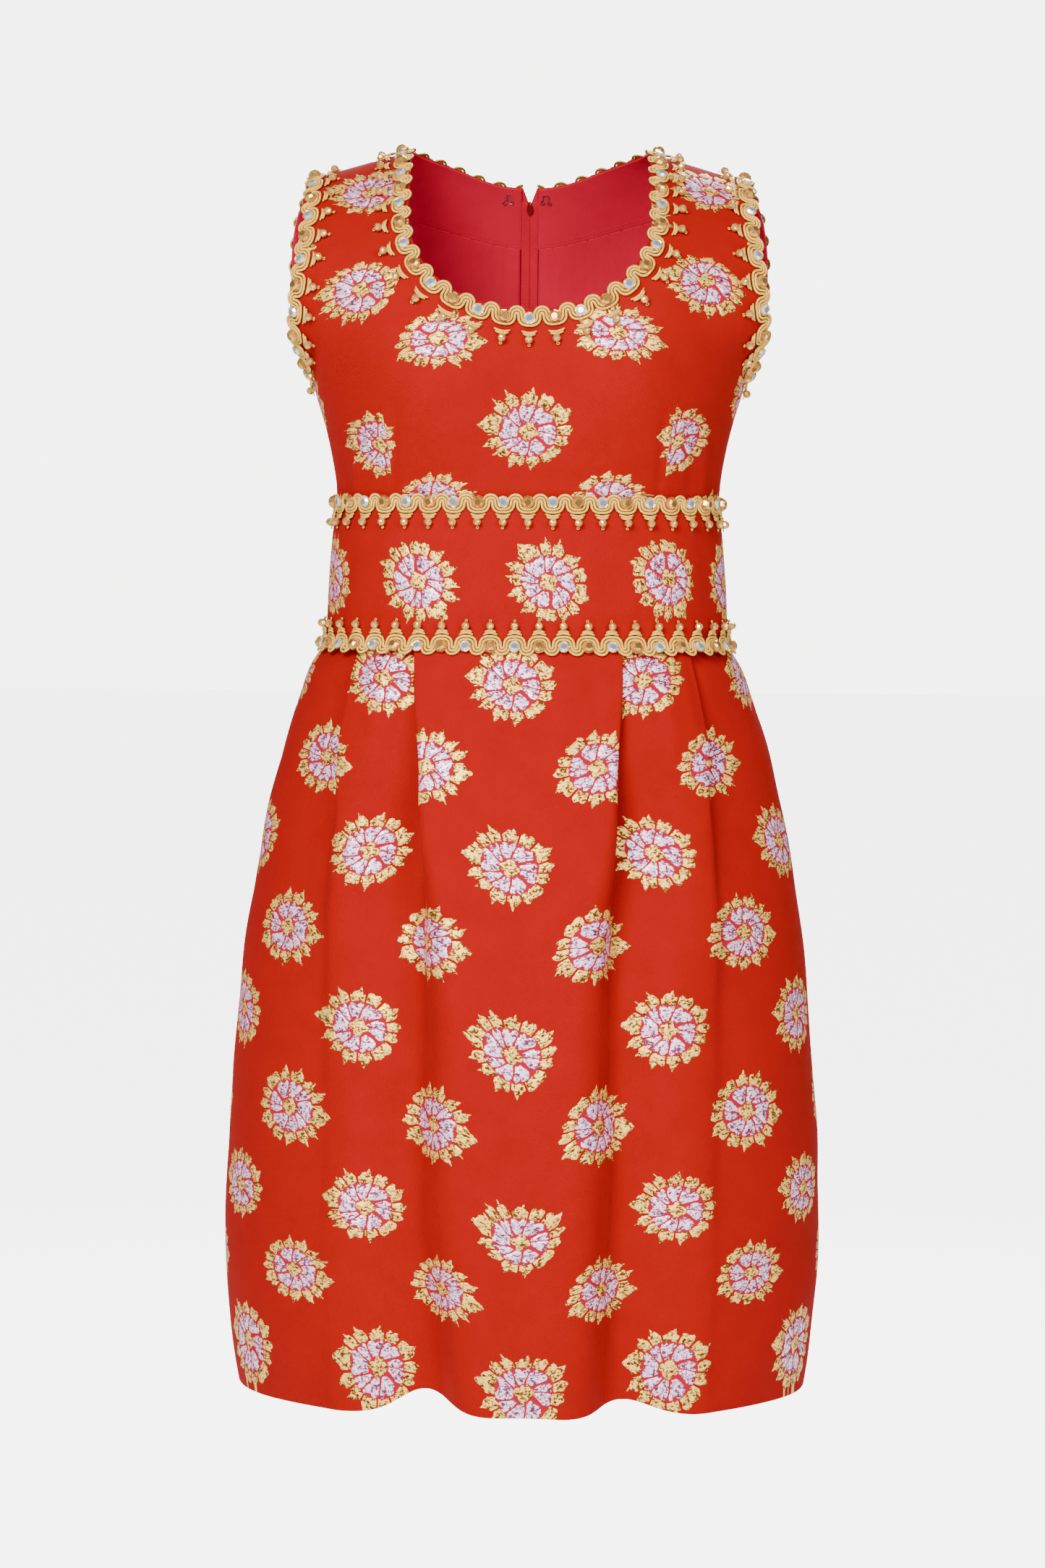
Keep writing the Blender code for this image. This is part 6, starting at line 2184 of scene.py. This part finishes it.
@dataclass
class BraidLayer:
    """Finds the cloth under each braid and lays the five braids."""

    bodice: Bodice
    panels: dict[str, Panel]
    finishes: Finishes
    empire_z: float = -0.2535
    waist_z: float = -0.3715
    rest: float = 0.0003
    reach: tuple[float, ...] = (-0.0032, 0.0, 0.003, 0.006, 0.009, 0.012, 0.015, 0.018, 0.021, 0.024, 0.028)
    sampling: float = 0.0022

    def tree(self) -> BVHTree:
        """A search tree over the bodice's outer cloth."""
        points, faces = [], []
        for panel in self.panels.values():
            rows, columns = panel.points.shape[:2]
            index = np.arange(rows * columns).reshape(rows, columns) + len(points)
            quads = np.stack(
                [index[:-1, :-1], index[:-1, 1:], index[1:, 1:], index[1:, :-1]], -1
            ).reshape(-1, 4)
            points += panel.points.reshape(-1, 3).tolist()
            faces += quads.tolist()
        return BVHTree.FromPolygons(points, faces)

    def edge_ground(self, path: np.ndarray, opening: Vector, tree: BVHTree, closed: bool) -> Ground:
        """The ground beside a cut edge, on the side away from its opening."""
        length = np.linalg.norm(np.diff(path, axis=0), axis=1).sum()
        along = np.linspace(0, length, max(int(length / self.sampling), 8))
        walk = evenly(path)
        places = walk(along / length)
        grid, ups = [], []
        step = 0.004
        for at, place in zip(along, places):
            if closed:
                ends = walk(np.array([((at + step) % length) / length, ((at - step) % length) / length]))
            else:
                ends = walk(np.clip(np.array([(at + step) / length, (at - step) / length]), 0, 1))
            ahead = Vector(ends[0] - ends[1])
            here = Vector(place)
            normal = FIGURE.out_of(here)
            away = normal.cross(ahead).normalized()
            if away.dot(here - opening) < 0:
                away = -away
            row, out = [], []
            for depth in self.reach:
                target = here + away * depth
                foot = target if depth <= 0 else tree.find_nearest(target)[0]
                row.append(foot)
                out.append(FIGURE.out_of(foot) if depth > 0 else normal)
            grid.append(row)
            ups.append(out)
        points, normals = np.array(grid), unit(self.calmed(np.array(ups), closed))
        return Ground(along, np.array(self.reach), points + normals * self.rest, normals)

    @staticmethod
    def calmed(values: np.ndarray, closed: bool) -> np.ndarray:
        """Values averaged a little along the braid."""
        result = values.copy()
        for _ in range(3):
            before, after = np.roll(result, 1, axis=0), np.roll(result, -1, axis=0)
            if not closed:
                before[0], after[-1] = result[0], result[-1]
            result = (before + 2 * result + after) / 4
        return result

    def seam_ground(self, edge_z: float, downwards: bool, tree: BVHTree) -> Ground:
        """The ground beside a seam round the body."""
        levels = FIGURE.levels_at(edge_z)
        fine = np.linspace(0, np.pi / 2, 400)
        level = np.full(400, edge_z)
        back, front = [FIGURE.point(levels, fine, level, side) for side in (Side.BACK, Side.FRONT)]
        back = back[back[:, 0] > self.bodice.centre_back(np.array(edge_z)) + 0.0005]
        half = np.concatenate([back, front[::-1]])
        path = np.concatenate([half * [-1, 1, 1], half[-2::-1]])
        length = np.linalg.norm(np.diff(path, axis=0), axis=1).sum()
        along = np.linspace(0, length, int(length / self.sampling))
        own_half = float(FIGURE.sizes(levels, edge_z)[0])
        grid, ups = [], []
        for place in evenly(path)(along / length):
            side = Side.FRONT if place[1] < 0 else Side.BACK
            angle = np.array([math.asin(np.clip(place[0] / own_half, -1, 1))])
            row, out = [], []
            for depth in self.reach:
                z = np.array([edge_z - depth if downwards else edge_z + depth])
                here = FIGURE.levels_at(float(z[0]))
                spot = FIGURE.point(here, angle, z, side)[0]
                normal = FIGURE.normal(here, angle, z, side)[0]
                foot, _, _, apart = tree.find_nearest(Vector(spot))
                if foot is not None and apart < 0.004 and here is FIGURE.bodice:
                    spot = np.array(foot)
                row.append(spot)
                out.append(normal)
            grid.append(row)
            ups.append(out)
        normals = unit(self.calmed(np.array(ups), False))
        return Ground(along, np.array(self.reach), np.array(grid) + normals * self.rest, normals)

    def neck_path(self) -> np.ndarray:
        """The neck edge, from the zip round the picture's right and the scoop and back to the zip."""
        front = self.panels["front"].points[-1]
        share = self.bodice.front_shoulder_share
        inner = np.abs(front[:, 0]) <= FIGURE.neck_half + 1e-5
        scoop = front[inner][::-1]
        edges = []
        for hand in (Hand.RIGHT, Hand.LEFT):
            top = self.panels[f"back_{hand.word}"].points[-1]
            edges.append(top[np.abs(top[:, 0]) <= FIGURE.neck_half + 1e-5])
        log.info("neck scoop share %.3f, %d points", share, len(scoop))
        return np.concatenate([edges[0], scoop, edges[1][::-1]])

    def armhole_path(self, hand: Hand) -> np.ndarray:
        """The armhole edge, from the underarm up the front and down the back."""
        front = self.panels["front"].points[:, 0 if hand is Hand.LEFT else -1]
        back = self.panels[f"back_{hand.word}"].points[:, -1]
        above = self.bodice.underarm_z - 1e-5
        return np.concatenate([front[front[:, 2] >= above], back[back[:, 2] >= above][::-1]])

    def build(self) -> None:
        """Lays all five."""
        tree = self.tree()
        jewels = JewelBench()
        neck = self.edge_ground(self.neck_path(), Vector((0, 0, -0.03)), tree, False)
        Braid(
            "braid_neck_gimp", "braid_neck", neck, self.finishes, jewels, 1, overhang=0.0028
        ).build()
        for hand in Hand:
            opening = Vector((hand.value * 0.175, 0.0, -0.09))
            ground = self.edge_ground(self.armhole_path(hand), opening, tree, True)
            Braid(
                f"braid_armhole_{hand.word}_gimp",
                f"braid_armhole_{hand.word}",
                ground,
                self.finishes,
                jewels,
                overhang=0.0016,
            ).build()
        for name, z, downwards in (("empire", self.empire_z, True), ("waist", self.waist_z, False)):
            ground = self.seam_ground(z, downwards, tree)
            Braid(f"braid_{name}_gimp", f"braid_{name}", ground, self.finishes, jewels).build()


# Zip


@dataclass
class ZipPieces:
    """The zip's tapes, coil and sewing, and the finish of its slider, pull, hook and eye."""

    finishes: Finishes
    bodice: Bodice
    top_z: float = -0.0300
    end_z: float = -0.500
    wall: float = 0.0011
    liner_gap: float = 0.0003
    tape_wall: float = 0.0008
    tape_width: float = 0.0058
    coil_pitch: float = 0.0014
    coil_width: float = 0.0016

    def centre_line(self, heights: np.ndarray) -> tuple[np.ndarray, np.ndarray]:
        """The centre back's points and ways out."""
        points, ups = [], []
        for z in heights:
            levels = FIGURE.levels_at(z)
            level = np.array([z])
            points.append(FIGURE.point(levels, np.array([0.0]), level, Side.BACK)[0])
            ups.append(FIGURE.normal(levels, np.array([1e-3]), level, Side.BACK)[0] * [0, 1, 1])
        return np.array(points), unit(self.smoothed(np.array(ups)))

    @staticmethod
    def smoothed(values: np.ndarray) -> np.ndarray:
        """Values averaged along the line."""
        for _ in range(4):
            values = np.concatenate(
                [values[:1], (values[:-2] + 2 * values[1:-1] + values[2:]) / 4, values[-1:]]
            )
        return values

    @staticmethod
    def depth_at(x: float, z: float) -> float:
        """How far back the body form lies at a place beside the zip."""
        levels = FIGURE.levels_at(z)
        half_width = float(FIGURE.sizes(levels, z)[0])
        angle = np.array([math.asin(x / half_width)])
        return float(FIGURE.point(levels, angle, np.array([z]), Side.BACK)[0, 1])

    def tape(self, hand: Hand) -> Panel:
        """One tape's outer grid, beside the zip's line."""
        heights = np.linspace(self.end_z, self.top_z, 150)
        points, ups = self.centre_line(heights)
        across = np.linspace(0, 1, 9)
        start = self.bodice.centre_back(heights)[:, None]
        x = start + (self.tape_width - 0.0002) * across
        grid = np.repeat(points[:, None], len(across), axis=1)
        curve = np.array([[self.depth_at(value, z) for value in row] for z, row in zip(heights, x)])
        grid[..., 0] = x
        grid[..., 1] = curve
        flat = np.stack([x, np.repeat(heights[:, None], len(across), axis=1)], -1)
        normals = np.repeat(ups[:, None], len(across), axis=1)
        return Panel(grid, normals, flat).mirrored(hand)

    def build(self) -> None:
        """Tapes, coil and stitches, then the CAD fastenings' finishes."""
        for hand in Hand:
            panel = self.tape(hand)
            rims = {"left": Rim.FOLD, "right": Rim.FOLD, "top": Rim.FOLD}
            piece = ClothPiece(
                f"zip_tape_{hand.word}_cloth",
                panel,
                self.finishes.tape,
                self.finishes.tape,
                self.wall + self.liner_gap,
                self.tape_wall,
                rims,
            ).build()
            dress_sheet(
                piece,
                f"zip_tape_{hand.word}",
            )
            depth = self.wall + self.liner_gap + self.tape_wall
            line = panel.points[2:-2, 6] - panel.normals[2:-2, 6] * depth
            Stitches(
                f"zip_stitches_{hand.word}", line, -panel.normals[2:-2, 6], self.finishes.thread
            ).build()
        self.coil()
        for node, finish in (
            ("zip_slider", self.finishes.red_enamel),
            ("zip_pull", self.finishes.red_enamel),
            ("hook", self.finishes.wire),
            ("eye", self.finishes.wire),
        ):
            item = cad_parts[node]
            for slot in item.material_slots:
                slot.material = finish

    def coil(self) -> None:
        """The zip's interlocked coil, as small loops left and right of the line."""
        heights = np.arange(self.end_z + 0.004, self.bodice.zip_top_z, self.coil_pitch)
        points, ups = self.centre_line(heights)
        depth = self.wall + self.liner_gap + self.tape_wall * 0.6
        parts = []
        for k, (point, up) in enumerate(zip(points, ups)):
            side = 1 if k % 2 else -1
            t = np.linspace(0, 1, 5)
            x = side * self.coil_width * (0.5 - t * 0.85)
            loop = np.stack([x, 0 * t, 0.00035 * np.sin(t * np.pi)], -1)
            inward = np.outer(0.00035 * np.sin(t * np.pi), -up)
            parts.append(
                tube(point - up * depth + loop + inward, np.tile(-up, (5, 1)), np.full(5, 0.00042), 5)
            )
        vertices, faces, flat = stacked(parts)
        piece = mesh_object("zip_coil", vertices, faces, flat, None, (self.finishes.tape,))
        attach(piece, "dress")


# Studio


@dataclass
class Softbox:
    """A large soft light."""

    name: str
    place: tuple[float, float, float]
    target: tuple[float, float, float]
    size: float
    power: float

    def build(self) -> None:
        """Hangs the light, facing its target."""
        light = bpy.data.lights.new(self.name, "AREA")
        light.shape = "DISK"
        light.size = self.size
        light.energy = self.power
        hung = bpy.data.objects.new(self.name, light)
        hung.location = self.place
        hung.rotation_euler = (Vector(self.target) - Vector(self.place)).to_track_quat("-Z", "Y").to_euler()
        bpy.context.scene.collection.objects.link(hung)


@dataclass
class Studio:
    """The camera at the photograph's angle, soft lights, and a plain pale floor."""

    camera_place: tuple[float, float, float] = (-0.0023, -3.0, -0.305)
    tilt: float = math.radians(3.13)
    roll: float = math.radians(0.45)
    lens: float = 92.26
    sensor: float = 36.0
    floor_z: float = -1.35
    floor_size: float = 60.0
    floor_glow: float = 4.6
    sky: Colour = (0.36, 0.36, 0.356)
    backdrop: Colour = (5.6, 5.55, 5.45)
    lights: tuple[Softbox, ...] = (
        Softbox("key_softbox", (-0.9, -2.7, 0.9), (0.0, -0.1, -0.45), 1.4, 170.0),
        Softbox("fill_softbox", (1.5, -2.6, 0.4), (0.0, -0.1, -0.5), 1.6, 58.0),
        Softbox("back_softbox", (0.4, 2.6, 1.2), (0.0, 0.0, -0.4), 1.8, 125.0),
    )

    def build(self) -> None:
        """Sets up the camera, world, lights and floor."""
        scene = bpy.context.scene
        lens = bpy.data.cameras.new("photo_camera")
        lens.sensor_fit = "VERTICAL"
        lens.sensor_height = self.sensor
        lens.lens = self.lens
        lens.clip_end = 200.0
        camera = bpy.data.objects.new("photo_camera", lens)
        camera.location = self.camera_place
        turned = Euler(
            (math.pi / 2 - self.tilt, 0.0, 0.0)
        ).to_matrix() @ Euler((0.0, 0.0, self.roll)).to_matrix()
        camera.rotation_euler = turned.to_euler()
        scene.collection.objects.link(camera)
        scene.camera = camera
        world = bpy.data.worlds.new("studio_sky")
        world.use_nodes = True
        b = Bench(world.node_tree)
        background = world.node_tree.nodes["Background"]
        seen = b.add("ShaderNodeLightPath").outputs["Is Camera Ray"]
        b.join(b.mix(seen, self.sky, self.backdrop), background.inputs["Color"])
        scene.world = world
        for light in self.lights:
            light.build()
        self.floor()

    def floor(self) -> None:
        """A plain pale floor."""
        bpy.ops.object.select_all(action="DESELECT")
        bpy.ops.mesh.primitive_plane_add(size=self.floor_size, location=(0, 0, self.floor_z))
        plane = bpy.context.object
        plane.name = "studio_floor"
        made, b, shader = new_material("studio_floor_paper")
        place = b.add("ShaderNodeTexCoord").outputs["Object"]
        b.join(
            b.mix(b.noise(place, 3.0), (0.93, 0.93, 0.92), (0.96, 0.96, 0.95)), shader.inputs["Base Color"]
        )
        shader.inputs["Roughness"].default_value = 0.9
        seen = b.add("ShaderNodeLightPath").outputs["Is Camera Ray"]
        b.join(b.mix(seen, (0.0, 0.0, 0.0), (1.0, 0.99, 0.98)), shader.inputs["Emission Color"])
        shader.inputs["Emission Strength"].default_value = self.floor_glow
        plane.data.materials.append(made)


def write_sizes() -> None:
    """Updates the view layer."""
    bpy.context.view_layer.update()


def main() -> None:
    """Builds and dresses the whole cocktail dress."""
    finishes = Finishes()
    bodice = Bodice()
    pieces = BodicePieces(bodice, finishes)
    pieces.build()
    MidriffPieces(finishes).build(bodice.centre_back)
    SkirtPieces(finishes).build(float(bodice.centre_back(np.array(FIGURE.waist_z))))
    BraidLayer(bodice, pieces.panels, finishes).build()
    ZipPieces(finishes, bodice).build()
    Studio().build()
    write_sizes()


if __name__ == "__main__":
    main()
